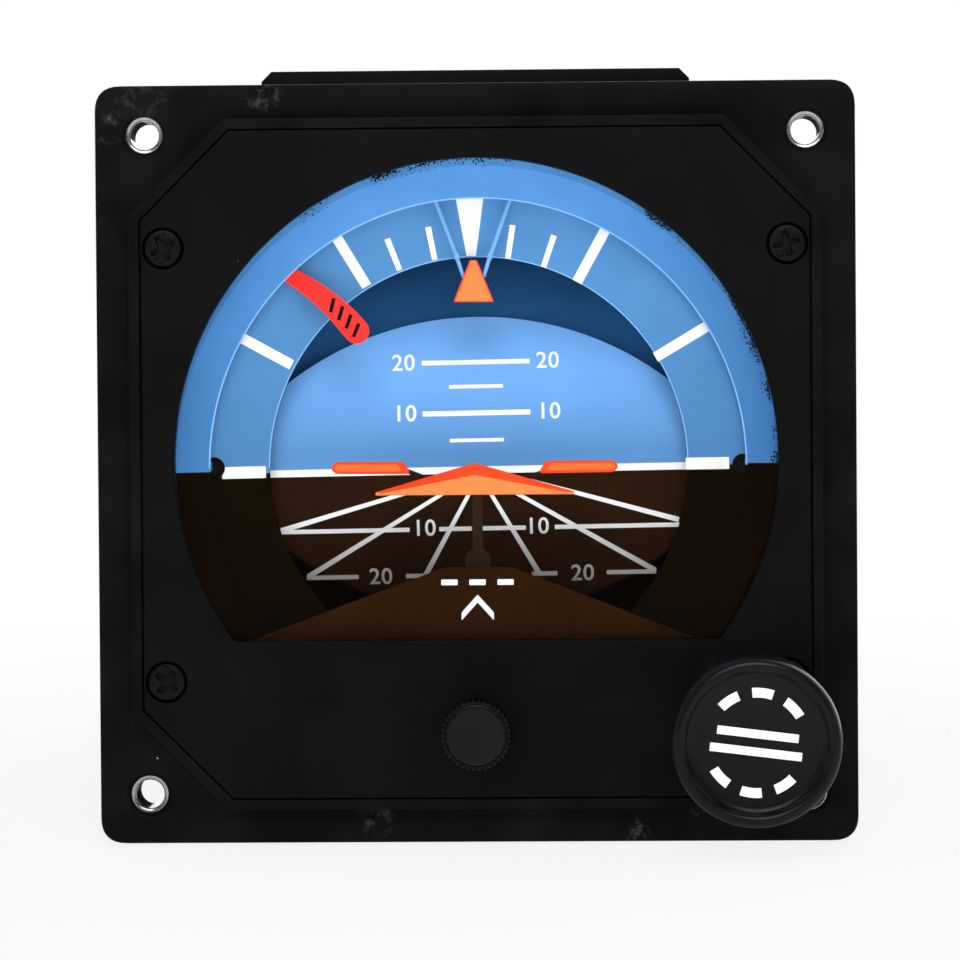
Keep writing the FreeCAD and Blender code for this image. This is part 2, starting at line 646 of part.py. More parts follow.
def glass_and_mask():
    keep(d_shape("window_glass", "glass_radius", GLASS_FRONT, "glass_thickness", BELOW_GLASS),
         "window_glass")
    outer = d_shape("gasket_outside", "glass_radius", GLASS_BACK, "gasket_thickness", BELOW_GLASS)
    inner = d_shape("gasket_inside", "glass_radius - gasket_width", GLASS_BACK, "gasket_thickness",
                    f"({BELOW_GLASS} - gasket_width)")
    keep(minus("glass_gasket", outer, [inner]), "glass_gasket")

    profile = [
        ("mask_throat", LIP_FRONT), ("glass_radius", LIP_FRONT), ("glass_radius", LIP_BACK),
        ("mask_throat + mask_wall", LIP_BACK),
        ("mask_inner + mask_wall + 0.45", f"({MASK_BACK} - 0.4)"),
        ("mask_inner + mask_land", f"({MASK_BACK} - 0.4)"),
        ("mask_inner + mask_land", MASK_BACK), ("mask_inner", MASK_BACK),
        ("mask_inner", f"({MASK_BACK} - 0.4)"), ("mask_throat", LIP_BACK),
    ]
    ring = turned("mask_blank", profile, "Y", ("0", "0", DIAL_Z))
    span = "(2 * glass_radius + 4)"
    bottom = box("mask_bottom", (span, "mask_depth + 4", "glass_radius"),
                 (f"-{span} / 2", f"({LIP_FRONT} - 1)", f"-({BELOW_GLASS} + glass_radius)"))
    limit = d_shape("mask_limit", "glass_radius", LIP_FRONT, "mask_depth + 4", BELOW_GLASS)
    keep(shared("mask_ring", minus("mask_cut", ring, [bottom]), limit), "mask_ring")

    part = body("hill_blank")
    base = f"-({BELOW_GLASS})"
    side = "mask_throat * 0.74"
    pad(part, "XZ", LIP_FRONT, "hill_thickness", [
        (f"-({side})", base), (side, base), ("hill_foot_x + 1.6", f"({DIAL_Z} - hill_foot_z - 0.4)"),
        ("hill_foot_x", f"({DIAL_Z} - hill_foot_z)"), ("hill_flat / 2", f"({DIAL_Z} - hill_top)"),
        ("-hill_flat / 2", f"({DIAL_Z} - hill_top)"), ("-hill_foot_x", f"({DIAL_Z} - hill_foot_z)"),
        ("-hill_foot_x - 1.6", f"({DIAL_Z} - hill_foot_z - 0.4)"),
    ])
    keep(part, "lower_mask")


# ---------------------------------------------------------------- pointer and flag


def bank_pointer():
    station = f"({MASK_BACK} + pointer_depth)"
    part = body("pointer_plate")
    pad(part, "XZ", station, "pointer_thickness", [
        ("-pointer_width / 2", f"({DIAL_Z} + pointer_base)"),
        ("pointer_width / 2", f"({DIAL_Z} + pointer_base)"),
        ("0.5", f"({DIAL_Z} + pointer_top)"), ("-0.5", f"({DIAL_Z} + pointer_top)"),
    ])
    keep(part, "bank_pointer")

    middle_z = -value("dial_drop")
    back = number(MASK_BACK)
    foot_z = middle_z + value("mask_inner") + value("mask_land") - 0.3
    foot_low = middle_z + value("mask_inner") + 0.25
    tip_z = middle_z + value("pointer_top") - 2.2
    width = value("leg_width")
    thick = value("leg_thickness")
    plate_y = number(station)
    solids = []
    for side in (-1, 1):
        foot_x = side * value("leg_spread") / 2
        knee_x = side * 1.75
        toe_x = side * 1.35
        knee_z = middle_z + value("pointer_top") + 0.8
        stations = [
            (foot_x, back, foot_low), (knee_x, plate_y - thick - 0.02, knee_z),
            (toe_x, plate_y - thick - 0.02, tip_z),
        ]
        rings = []
        for x, y, z in stations:
            ends = [VECTOR(x - width / 2, y, z), VECTOR(x + width / 2, y, z),
                    VECTOR(x + width / 2, y + thick, z), VECTOR(x - width / 2, y + thick, z)]
            rings.append(Part.makePolygon(ends + ends[:1]))
        leg = Part.makeLoft(rings[:2], True, True).fuse(Part.makeLoft(rings[1:], True, True))
        foot = Part.makeBox(width, thick, foot_z - foot_low, VECTOR(foot_x - width / 2, back, foot_low))
        solids.append(leg.fuse(foot).removeSplitter())
    legs = doc.addObject("Part::Feature", "pointer_legs")
    legs.Shape = Part.makeCompound(solids)
    keep(legs, "pointer_legs")


def sector(inner, outer, start, sweep, station, depth, x, z):
    """Flat ring sector facing the pilot. Angles run anticlockwise as the pilot sees them."""
    axis = VECTOR(0, -1, 0)
    rear = VECTOR(x, station + depth, z)
    wedge = Part.makeCylinder(outer, depth, rear, axis, sweep)
    wedge = wedge.cut(Part.makeCylinder(inner, depth, rear, axis, 360))
    # A cylinder built along -Y starts its sweep at an angle of its own, found from its first face.
    reference = Part.makeCylinder(outer, depth, rear, axis, 1.0).CenterOfMass.sub(rear)
    built = math.degrees(math.atan2(reference.z, reference.x)) - 0.5
    wedge.rotate(VECTOR(x, 0, z), axis, start - built)
    return wedge


# Degrees, anticlockwise as the pilot sees them.
HIDDEN_ARM_END = 134.0
HIDDEN_ARM_START = 181.5
FLAG_TIP_ANGLE = 38.7
FLAG_ROOT_ANGLE = 65.0


def warning_flag():
    pivot_x = -value("flag_pivot_x")
    pivot_z = -value("dial_drop") - value("flag_pivot_z")
    front = number(FLAG_FRONT)
    thick = value("flag_thickness")
    axis = VECTOR(0, 1, 0)
    inner = value("flag_radius") - value("flag_width") / 2
    outer = value("flag_radius") + value("flag_width") / 2
    face = sector(inner, outer, FLAG_TIP_ANGLE, FLAG_ROOT_ANGLE - FLAG_TIP_ANGLE, front, thick, pivot_x,
                  pivot_z)
    tip_angle = math.radians(FLAG_TIP_ANGLE)
    tip = VECTOR(
        pivot_x + value("flag_radius") * math.cos(tip_angle), front,
        pivot_z + value("flag_radius") * math.sin(tip_angle),
    )
    tip_disc = Part.makeCylinder(value("flag_width") * 0.6, thick, tip, axis)
    hidden_inner = value("mask_inner") + 0.7
    hidden = sector(
        hidden_inner, hidden_inner + 1.5, HIDDEN_ARM_END, HIDDEN_ARM_START - HIDDEN_ARM_END,
        front, thick, 0.0, -value("dial_drop"),
    )
    hub = Part.makeCylinder(value("flag_hub"), 2.0, VECTOR(pivot_x, front - 0.25, pivot_z), axis)
    tail = Part.makeBox(1.2, thick, 5.6, VECTOR(pivot_x - 0.6, front, pivot_z - 5.6))
    bore = Part.makeCylinder(value("post_radius") + value("run_gap"), 6, VECTOR(pivot_x, front - 2, pivot_z),
                             axis)
    plate = face.fuse([tip_disc, hidden, hub, tail]).cut(bore)
    flag = doc.addObject("Part::Feature", "warning_flag")
    flag.Shape = plate.removeSplitter()
    keep(flag, "warning_flag")

    spot_z = "-(dial_drop + flag_pivot_z)"
    rear = "(flange_thickness + seat_gap)"
    post_length = f"({FLAG_FRONT} + 2.6 - {rear})"
    shaft = rod("post_shaft", "post_radius", post_length, ("-flag_pivot_x", rear, spot_z))
    head = rod("post_head", "post_radius + 0.5", "0.4",
               ("-flag_pivot_x", f"({rear} + {post_length} - 0.4)", spot_z))
    foot = box("post_foot", (f"({CASE_SIDE} - 0.4 - flag_pivot_x + 0.9)", "0.5", "6.0"),
               (f"-({CASE_SIDE} - 0.4)", rear, f"({spot_z} - 3.0)"))
    keep(joined("flag_post", [shaft, head, foot]), "flag_post")

    coil_x = "-(flag_pivot_x + 0.8)"
    coil_z = f"({spot_z} - 13.0)"
    winding = rod("coil_winding", "2.0", "6.0", (coil_x, f"({FLAG_FRONT} + 2.4)", coil_z), "Z")
    bracket = box("coil_bracket", ("2.0", f"({FLAG_FRONT} + 2.0 - {rear})", "4.0"),
                  (f"({coil_x} - 1.0)", rear, f"({coil_z} + 1.0)"))
    keep(joined("flag_coil", [winding, bracket]), "flag_coil")


# ---------------------------------------------------------------- airplane symbol and its drive

KNOB_TEETH = 38
PINION_TEETH = 10
PINION_MODULE = 0.5
BACKLASH = 0.07
PRESSURE = math.tan(math.radians(20))
SYMBOL_FRONT = f"({SLIDER_FRONT} - symbol_stand)"


def tooth(root_reach, tip_reach, height):
    """Outline of one straight-sided tooth whose half width shrinks from root to tip."""
    half = math.pi * PINION_MODULE / 4 - BACKLASH
    root_half = half + PINION_MODULE * 1.15 * PRESSURE
    tip_half = half - PINION_MODULE * 0.95 * PRESSURE
    return [
        (root_reach, height - root_half), (tip_reach, height - tip_half),
        (tip_reach, height + tip_half), (root_reach, height + root_half),
    ]


def flat_prism(points, station, depth):
    """Prism from (x, z) points, built rearwards from a station."""
    spots = [VECTOR(x, station, z) for x, z in points]
    return Part.Face(Part.makePolygon(spots + spots[:1])).extrude(VECTOR(0, depth, 0))


def symbol_parts():
    part = body("delta_blank")
    base = f"({DIAL_Z} - delta_foot)"
    ends = f"({DIAL_Z} - delta_foot + 0.3)"
    pad(part, "XZ", SYMBOL_FRONT, "symbol_thickness", [
        ("0", f"({DIAL_Z} + delta_rise)"), ("-delta_half", ends), ("-(delta_half - 0.25)", base),
        ("(delta_half - 0.25)", base), ("delta_half", ends),
    ])
    keep(part, "airplane_delta")
    wings = []
    for side in ("-", ""):
        wing = body("wing_blank")
        low = f"({DIAL_Z} - wing_half)"
        high = f"({DIAL_Z} + wing_half)"
        blunt = f"{side}(wing_outer - 0.6)"
        pad(wing, "XZ", SYMBOL_FRONT, "symbol_thickness", [
            (f"{side}wing_inner", low), (blunt, low), (f"{side}wing_outer", f"({DIAL_Z} - 0.3)"),
            (f"{side}wing_outer", f"({DIAL_Z} + 0.3)"), (blunt, high), (f"{side}(wing_inner + 1.4)", high),
        ])
        wings.append(wing)
    keep(group("airplane_wings", wings), "airplane_wings")

    # Bracket, stem and slider with its rack are one brown piece.
    front = number(SLIDER_FRONT)
    thick = value("slider_thickness")
    axis_z = -value("dial_drop")
    drop = value("adjust_drop")
    half = value("slider_half")
    low = -number(SLIDER_LOW)
    high = -number(SLIDER_HIGH)
    back = number(f"{SYMBOL_FRONT} + symbol_thickness")
    rear = front + thick
    right = [
        (0.6, axis_z - 1.9), (5.2, axis_z - 1.9), (8.8, axis_z - 0.55), (10.8, axis_z - 0.55),
        (10.8, axis_z - 0.05), (8.6, axis_z - 0.05), (5.0, axis_z - 1.4), (0.0, axis_z - 1.4),
    ]
    left = [(-x, z) for x, z in reversed(right[:-1])]
    stem = [
        (-0.6, axis_z - 9.6), (-1.5, axis_z - 10.6), (-1.5, high - 0.1), (1.5, high - 0.1),
        (1.5, axis_z - 10.6), (0.6, axis_z - 9.6),
    ]
    bracket = flat_prism(right + left + stem, back, rear - back)
    plate = Part.makeBox(2 * half, thick, high - low, VECTOR(-half, front, low))
    pitch_radius = PINION_TEETH * PINION_MODULE / 2
    rack_root = pitch_radius + 1.2 * PINION_MODULE
    # The slider is a fork that straddles the pinion and is open at the bottom.
    fork_gap = Part.makeBox(rack_root + 3.4, thick * 3, 15.3, VECTOR(-3.4, front - thick, -drop - 10.0))
    pitch = math.pi * PINION_MODULE
    teeth = []
    for index in (-2, -1, 0, 1, 2):
        points = tooth(rack_root + 0.05, pitch_radius - 0.95 * PINION_MODULE, -drop + index * pitch)
        teeth.append(flat_prism(points, front, thick))
    feature = doc.addObject("Part::Feature", "symbol_slider")
    feature.Shape = plate.cut(fork_gap).fuse(teeth + [bracket]).removeSplitter()
    keep(feature, "symbol_slider")


def adjust_drive():
    front = number(SLIDER_FRONT)
    drop = value("adjust_drop")
    pitch_radius = PINION_TEETH * PINION_MODULE / 2
    root = pitch_radius - 1.2 * PINION_MODULE
    core = Part.makeCylinder(root, 1.0, VECTOR(0, front, -drop), VECTOR(0, 1, 0))
    teeth = []
    for index in range(PINION_TEETH):
        points = tooth(root - 0.2, pitch_radius + 0.8 * PINION_MODULE, -drop)
        wheel_tooth = flat_prism(points, front, 1.0)
        wheel_tooth.rotate(VECTOR(0, 0, -drop), VECTOR(0, 1, 0), (index + 0.5) * 360 / PINION_TEETH)
        teeth.append(wheel_tooth)
    knob_back = number(f"{PLATE_FRONT} - 1.0")
    reach = Part.makeCylinder(value("adjust_shaft"), front - knob_back + 5.0,
                              VECTOR(0, knob_back - 5.0, -drop),
                              VECTOR(0, 1, 0))
    tail = Part.makeCylinder(0.8, number(f"flange_thickness - {SLIDER_FRONT} - 0.1"), VECTOR(0, front, -drop),
                             VECTOR(0, 1, 0))
    shaft = doc.addObject("Part::Feature", "adjust_shaft")
    shaft.Shape = core.fuse(teeth + [reach, tail]).removeSplitter()
    keep(shaft, "adjust_shaft")

    bush_front = f"({PLATE_FRONT} - 0.7)"
    keep(tube("adjust_bush", "adjust_shaft + bush_wall", "adjust_shaft + run_gap",
              f"({SLIDER_FRONT} - 0.15 - {bush_front})", ("0", bush_front, "-adjust_drop")), "adjust_bush")

    plate = box("cover_plate",
                ("2 * cover_half", f"(flange_thickness - {COVER_PLATE_FRONT})", "cover_height"),
                ("-cover_half", COVER_PLATE_FRONT, "-(adjust_drop + cover_foot)"))
    tools = [rod("tail_hole", "0.8 + run_gap", "4", ("0", f"({COVER_PLATE_FRONT} - 1)", "-adjust_drop"))]
    for side in ("-", ""):
        spot = (f"{side}cover_screw", "flange_thickness", "-adjust_drop")
        tools.append(countersunk_hole("cover_plate_seat", SMALL_SCREW, spot, "Y"))
    keep(minus("slider_cover", plate, tools), "slider_cover")

    knob = body("knob_blank")
    back = f"({PLATE_FRONT} - 1.0)"
    face = f"({back} - adjust_length)"
    pad(knob, "XZ", f"({face} + 0.8)", "adjust_length - 0.8",
        circles=[("0", "-adjust_drop", "adjust_radius")])
    pad(knob, "XZ", face, "0.9", circles=[("0", "-adjust_drop", "adjust_face")])
    groove = pocket(knob, "XZ", f"({face} - 1)", "adjust_length + 2", [
        ("-0.2", "adjust_radius - adjust_drop + 0.3"), ("0", "adjust_radius - adjust_drop - 0.5"),
        ("0.2", "adjust_radius - adjust_drop + 0.3"),
    ])
    doc.recompute()
    ring = knob.newObject("PartDesign::PolarPattern", "Teeth")
    ring.Originals = [groove]
    axis_line = knob.newObject("PartDesign::Line", "KnobAxis")
    bind(axis_line, "Placement.Base.z", "-adjust_drop")
    axis_line.Placement.Rotation = TURN_TO["Y"]
    ring.Axis = (axis_line, [""])
    ring.Angle = 360
    ring.Occurrences = KNOB_TEETH
    knob.Tip = ring
    bore = rod("adjust_knob_bore", "adjust_shaft + bore_gap", "5.1",
               ("0", f"({PLATE_FRONT} - 6.05)", "-adjust_drop"))
    keep(minus("adjust_knob_bored", knob, [bore]), "adjust_knob")


# ---------------------------------------------------------------- quick erect

COLLAR_FRONT = f"({CASE_FRONT} + 26.0)"
BUSH_BACK = "(flange_thickness + 1.5)"
KNOB_BACK = f"({PLATE_FRONT} - erect_stand)"
KNOB_FRONT = f"({KNOB_BACK} - erect_length)"
CAGE_FRONT = f"({YOKE_BACK} + 2.0 + cam_high + 0.7 + erect_travel + 2.1)"


def quick_erect():
    centre = ("erect_x", "0", "-erect_z")
    keep(turned("erect_knob", [
        ("erect_rod + bore_gap", f"({KNOB_FRONT} + 3.0)"), ("erect_rod + bore_gap", KNOB_BACK),
        ("erect_radius - 1.2", KNOB_BACK), ("erect_radius", f"({KNOB_BACK} - 0.8)"),
        ("erect_radius", f"({KNOB_FRONT} + 0.9)"), ("erect_radius - 0.5", f"({KNOB_FRONT} + 0.2)"),
        ("erect_radius - 0.9", KNOB_FRONT), ("erect_radius - 1.4", f"({KNOB_FRONT} + 0.15)"),
        ("erect_radius - 2.0", f"({KNOB_FRONT} + 0.8)"), ("erect_radius - 5.0", f"({KNOB_FRONT} + 1.3)"),
        ("0", f"({KNOB_FRONT} + 1.5)"), ("0", f"({KNOB_FRONT} + 3.0)"),
    ], "Y", centre), "erect_knob")

    start = f"({KNOB_FRONT} + 3.05)"
    end = f"({BULKHEAD_BACK} + erect_travel + 1.5)"
    bar = rod("erect_bar", "erect_rod", f"({end} - {start})", ("erect_x", start, "-erect_z"))
    collar = rod("erect_collar", "erect_rod + 0.9", "1.0", ("erect_x", COLLAR_FRONT, "-erect_z"))
    keep(joined("erect_rod", [bar, collar]), "erect_rod")

    bush_front = f"({PLATE_FRONT} - 1.2)"
    keep(tube("erect_bush", "bush_radius", "erect_rod + run_gap", f"({BUSH_BACK} - {bush_front})",
              ("erect_x", bush_front, "-erect_z")), "erect_bush")

    turns = 8
    wire = 0.35
    low = number(f"{BUSH_BACK} + 0.1") + wire
    high = number(f"{COLLAR_FRONT} - 0.1") - wire
    radius = value("erect_rod") + 0.5
    helix = Part.makeHelix((high - low) / turns, high - low, radius)
    section = Part.Wire(Part.makeCircle(wire, VECTOR(radius, 0, 0), VECTOR(0, 1, 0)))
    coil = Part.Wire(helix.Edges).makePipeShell([section], True, True)
    coil.rotate(VECTOR(0, 0, 0), VECTOR(1, 0, 0), -90)
    coil.translate(VECTOR(value("erect_x"), low, -value("erect_z")))
    spring = doc.addObject("Part::Feature", "erect_spring")
    spring.Shape = coil
    keep(spring, "erect_spring")

    # The caging arm is clamped on the rod and carries a roller pin that faces the caging cam.
    reach_x = "6.5"
    reach_z = "7.0"
    arm = body("arm_blank")
    pad(arm, "XZ", CAGE_FRONT, "cage_thickness", [
        (f"({reach_x} - 2.6)", f"-({reach_z} - 0.4)"), (f"({reach_x} + 0.4)", f"-({reach_z} - 3.4)"),
        ("erect_x + 1.6", "-erect_z + 1.5"), ("erect_x - 1.5", "-erect_z - 1.6"),
    ])
    clamp = rod("arm_clamp", "erect_rod + 1.1", "cage_thickness", ("erect_x", CAGE_FRONT, "-erect_z"))
    pin = rod("arm_pin", "1.3", "2.6", (f"({reach_x} + 0.2)", f"({CAGE_FRONT} - 2.1)", f"-({reach_z} - 0.6)"))
    hole = rod("arm_hole", "erect_rod + bore_gap", "8", ("erect_x", f"({CAGE_FRONT} - 2)", "-erect_z"))
    room = body("arm_room")
    pad(room, "XZ", f"({CAGE_FRONT} - 3.0)", "cage_thickness + 4.0", inside_case())
    metal = shared("arm_metal", joined("arm_whole", [arm, clamp, pin]), room)
    keep(minus("caging_arm", metal, [hole]), "caging_arm")


# ---------------------------------------------------------------- roll gimbal


def roll_gimbal():
    dial = ("0", "0", DIAL_Z)
    inner_y = f"({BANK_FRONT} + bank_dish)"
    ring = turned("bank_blank", [
        ("bank_outer", BANK_FRONT), ("bank_outer", BANK_SEAT), ("bank_inner + 3.4", BANK_SEAT),
        ("bank_inner", f"({inner_y} + bank_edge)"), ("bank_inner", inner_y),
    ], "Y", dial)
    head_back = f"({BANK_FRONT} + 1.0)"
    sides = ("-", "")
    tools = []
    for side in sides:
        x = f"{side}bank_screw_radius"
        tools.append(rod("bank_seat", f"({RING_SCREW[0]} + 0.1)", "3.0", (x, f"({head_back} - 3.0)", DIAL_Z)))
        tools.append(rod("bank_hole", f"({RING_SCREW[2]} + 0.1)", "6.0", (x, f"({head_back} - 1.0)", DIAL_Z)))
    keep(minus("bank_ring", ring, tools), "bank_ring")
    screw = cross_head_screw("ring_screw", *RING_SCREW, False)
    spots = [(f"{side}bank_screw_radius", f"({head_back} - {RING_SCREW[1]})", DIAL_Z) for side in sides]
    keep(group("bank_ring_screws", copies("ring_screw", screw, spots, "-Y", (20, 65))), "bank_ring_screws")

    carrier = turned("carrier_blank", [
        ("carrier_inner", BANK_SEAT), ("bank_outer", BANK_SEAT), ("bank_outer", CARRIER_STEP),
        ("carrier_outer", CARRIER_STEP), ("carrier_outer", CARRIER_BACK),
        ("carrier_inner + 1.6", CARRIER_BACK),
        ("carrier_inner", CARRIER_STEP),
    ], "Y", dial)
    foot_spots = []
    for side in sides:
        for up in ("-", "+"):
            foot_spots.append((f"{side}(arm_inner + arm_thickness / 2 + 0.1)", CARRIER_STEP,
                               f"({DIAL_Z} {up} 3.6)"))
    tools = [countersunk_hole("carrier_seat", SMALL_SCREW, spot, "-Y") for spot in foot_spots]
    for side in sides:
        x = f"{side}bank_screw_radius"
        tools.append(rod("carrier_hole", f"({RING_SCREW[2]} + bore_gap)", "2.4",
                         (x, f"({BANK_SEAT} - 0.1)", DIAL_Z)))
    keep(minus("gimbal_front_ring", carrier, tools), "gimbal_front_ring")
    small = cross_head_screw("gimbal_screw", *SMALL_SCREW, True)
    keep(group("gimbal_screws", copies("gimbal_screw", small, foot_spots, "-Y", (10, 40, 75))),
         "gimbal_screws")

    arm_end = f"({YOKE_BACK} - {CARRIER_BACK})"
    arms = []
    for side in sides:
        left = "arm_inner" if side == "" else "-(arm_inner + arm_thickness)"
        arms.append(box("yoke_arm", ("arm_thickness", arm_end, "arm_height"),
                        (left, CARRIER_BACK, f"({DIAL_Z} - arm_height / 2)")))
    rear = box("yoke_rear", ("2 * arm_inner + 1", "yoke_plate", "2 * arm_height"),
               ("-(arm_inner + 0.5)", YOKE_FRONT, f"({DIAL_Z} - arm_height)"))
    hoop = tube("yoke_hoop", "hoop_inner + hoop_wall", "hoop_inner", "hoop_depth",
                ("0", f"({PITCH_Y} - hoop_setback)", DIAL_Z))
    tools = [rod("yoke_shaft_hole", "shaft_radius + bore_gap", "yoke_plate + 2",
                 ("0", f"({YOKE_FRONT} - 1)", DIAL_Z))]
    tools.append(rod("yoke_bearing_bore", "pitch_bearing + bore_gap", "2 * arm_inner + 20",
                     ("-(arm_inner + 10)", PITCH_Y, DIAL_Z), "X"))
    for spot in foot_spots:
        start = (spot[0], f"({CARRIER_BACK} - 0.1)", spot[2])
        tools.append(rod("foot_hole", f"({SMALL_SCREW[2]} + bore_gap)", "2.2", start))
    keep(minus("roll_gimbal", joined("yoke_metal", arms + [rear, hoop]), tools), "roll_gimbal")

    bearings = []
    for side in sides:
        left = "(arm_inner + 0.3)" if side == "" else "-(arm_inner + arm_thickness - 0.3)"
        bearings.append(tube("pitch_bearing", "pitch_bearing", "pivot_radius + run_gap",
                             "arm_thickness - 0.6",
                             (left, PITCH_Y, DIAL_Z), "X"))
    keep(group("pitch_bearings", bearings), "pitch_bearings")

    sheet_wall = tube("backdrop_tube", "backdrop_radius", "backdrop_radius - backdrop_wall",
                      "2 * backdrop_half",
                      ("-backdrop_half", PITCH_Y, DIAL_Z), "X")
    front_reach = "backdrop_radius * cos(backdrop_angle)"
    front_half = box("backdrop_front",
                     ("2 * backdrop_half + 2", "backdrop_radius + 2", "2 * backdrop_radius + 2"),
                     ("-(backdrop_half + 1)", f"({PITCH_Y} - {front_reach} - backdrop_radius - 2)",
                      f"({DIAL_Z} - backdrop_radius - 1)"))
    hoop_room = rod("backdrop_room", "hoop_inner - 0.35", "2 * backdrop_radius",
                    ("0", f"({PITCH_Y} - backdrop_radius - 1)", DIAL_Z))
    sheet_part = shared("backdrop_sheet", shared("backdrop_round", sheet_wall, hoop_room), front_half)
    tabs = []
    for side in ("-", "+"):
        low = "(backdrop_radius * sin(backdrop_angle) - 0.6)"
        height = f"(hoop_inner - 0.35 - {low})"
        z = f"({DIAL_Z} + {low})" if side == "+" else f"({DIAL_Z} - {low} - {height})"
        tabs.append(box("backdrop_tab", ("8.0", "0.8", height),
                        ("-4.0", f"({PITCH_Y} - {front_reach} - 0.8)", z)))
    keep(joined("sky_backdrop", [sheet_part] + tabs), "sky_backdrop")


def roll_shaft():
    dial = ("0", "0", DIAL_Z)
    flange_back = f"({YOKE_BACK} + 2.0)"
    end = f"({HUB_BACK} + slip_length + 6.0)"
    keep(turned("roll_shaft", [
        ("0", YOKE_FRONT), ("shaft_radius", YOKE_FRONT), ("shaft_radius", YOKE_BACK),
        ("shaft_flange", YOKE_BACK),
        ("shaft_flange", flange_back), ("shaft_radius", flange_back), ("shaft_radius", f"({end} - 0.5)"),
        ("shaft_radius - 0.5", end), ("0", end),
    ], "Y", dial), "roll_shaft")

    ring = tube("cam_ring", "cam_radius", "shaft_radius + bore_gap", "cam_high", ("0", flange_back, DIAL_Z))
    wedge = body("cam_wedge")
    reach = "cam_radius + 1"
    pad(wedge, "YZ", f"-({reach})", f"2 * ({reach})", [
        (f"({flange_back} - 1)", f"({DIAL_Z} - {reach})"),
        (f"({flange_back} + cam_high)", f"({DIAL_Z} - {reach})"),
        (f"({flange_back} + cam_low)", f"({DIAL_Z} + {reach})"),
        (f"({flange_back} - 1)", f"({DIAL_Z} + {reach})"),
    ])
    keep(shared("caging_cam", ring, wedge), "caging_cam")

    slip_front = f"({HUB_BACK} + 2.5)"
    barrel = tube("slip_barrel", "slip_radius", "shaft_radius + bore_gap", "slip_length",
                  ("0", slip_front, DIAL_Z))
    grooves = []
    for index in range(5):
        station = f"({slip_front} + 1.6 + {index} * 2.0)"
        grooves.append(tube("slip_groove", "slip_radius + 1", "slip_radius - 0.4", "0.6",
                            ("0", station, DIAL_Z)))
    keep(minus("slip_rings", barrel, grooves), "slip_rings")

    block_front = HUB_BACK
    block = box("brush_base", ("4.0", "slip_length + 3.0", "8.0"),
                ("slip_radius + 2.9", block_front, f"({DIAL_Z} - 4.0)"))
    fingers = []
    for index in range(6):
        station = f"({slip_front} + 0.5 + {index} * 2.0)"
        fingers.append(box("brush_finger", ("2.85", "0.5", "0.5"),
                           ("slip_radius + 0.15", station, f"({DIAL_Z} - 0.25)")))
    keep(joined("brush_block", [block] + fingers), "brush_block")

    bulkhead = body("bulkhead_plate")
    pad(bulkhead, "XZ", BULKHEAD_FRONT, "bulkhead_thickness", inside_case())
    hub = rod("hub_barrel", "hub_radius", "hub_length + bulkhead_thickness", ("0", BULKHEAD_FRONT, DIAL_Z))
    bearing_room = "(bearing_width + 1.0)"
    tools = [
        rod("hub_bore", "shaft_radius + 2.0", "hub_length + 20", ("0", f"({BULKHEAD_FRONT} - 5)", DIAL_Z)),
        rod("hub_front_seat", "roll_bearing + bore_gap", f"{bearing_room} + 1",
            ("0", f"({BULKHEAD_FRONT} - 1)", DIAL_Z)),
        rod("hub_rear_seat", "roll_bearing + bore_gap", f"{bearing_room} + 1",
            ("0", f"({HUB_BACK} - {bearing_room})", DIAL_Z)),
        rod("rod_guide", "erect_rod + run_gap", "bulkhead_thickness + 2",
            ("erect_x", f"({BULKHEAD_FRONT} - 1)", "-erect_z")),
    ]
    for side in ("-", ""):
        for up, facing in (("-", "-Z"), ("", "Z")):
            start = (f"{side}case_screw_x", f"({BULKHEAD_FRONT} + bulkhead_thickness / 2)",
                     f"{up}({CASE_SIDE} - 3.2)")
            tools.append(rod("bulkhead_hole", f"({CASE_SCREW[2]} + bore_gap)", "4.0", start, facing))
    keep(minus("bearing_bulkhead", joined("bulkhead_metal", [bulkhead, hub]), tools), "bearing_bulkhead")

    bearings = []
    for station in (f"({BULKHEAD_FRONT} + 1.0)", f"({HUB_BACK} - bearing_width - 1.0)"):
        bearings.append(tube("roll_bearing", "roll_bearing", "shaft_radius + run_gap", "bearing_width",
                             ("0", station, DIAL_Z)))
    keep(group("roll_bearings", bearings), "roll_bearings")


# ---------------------------------------------------------------- pitch drum and gyro


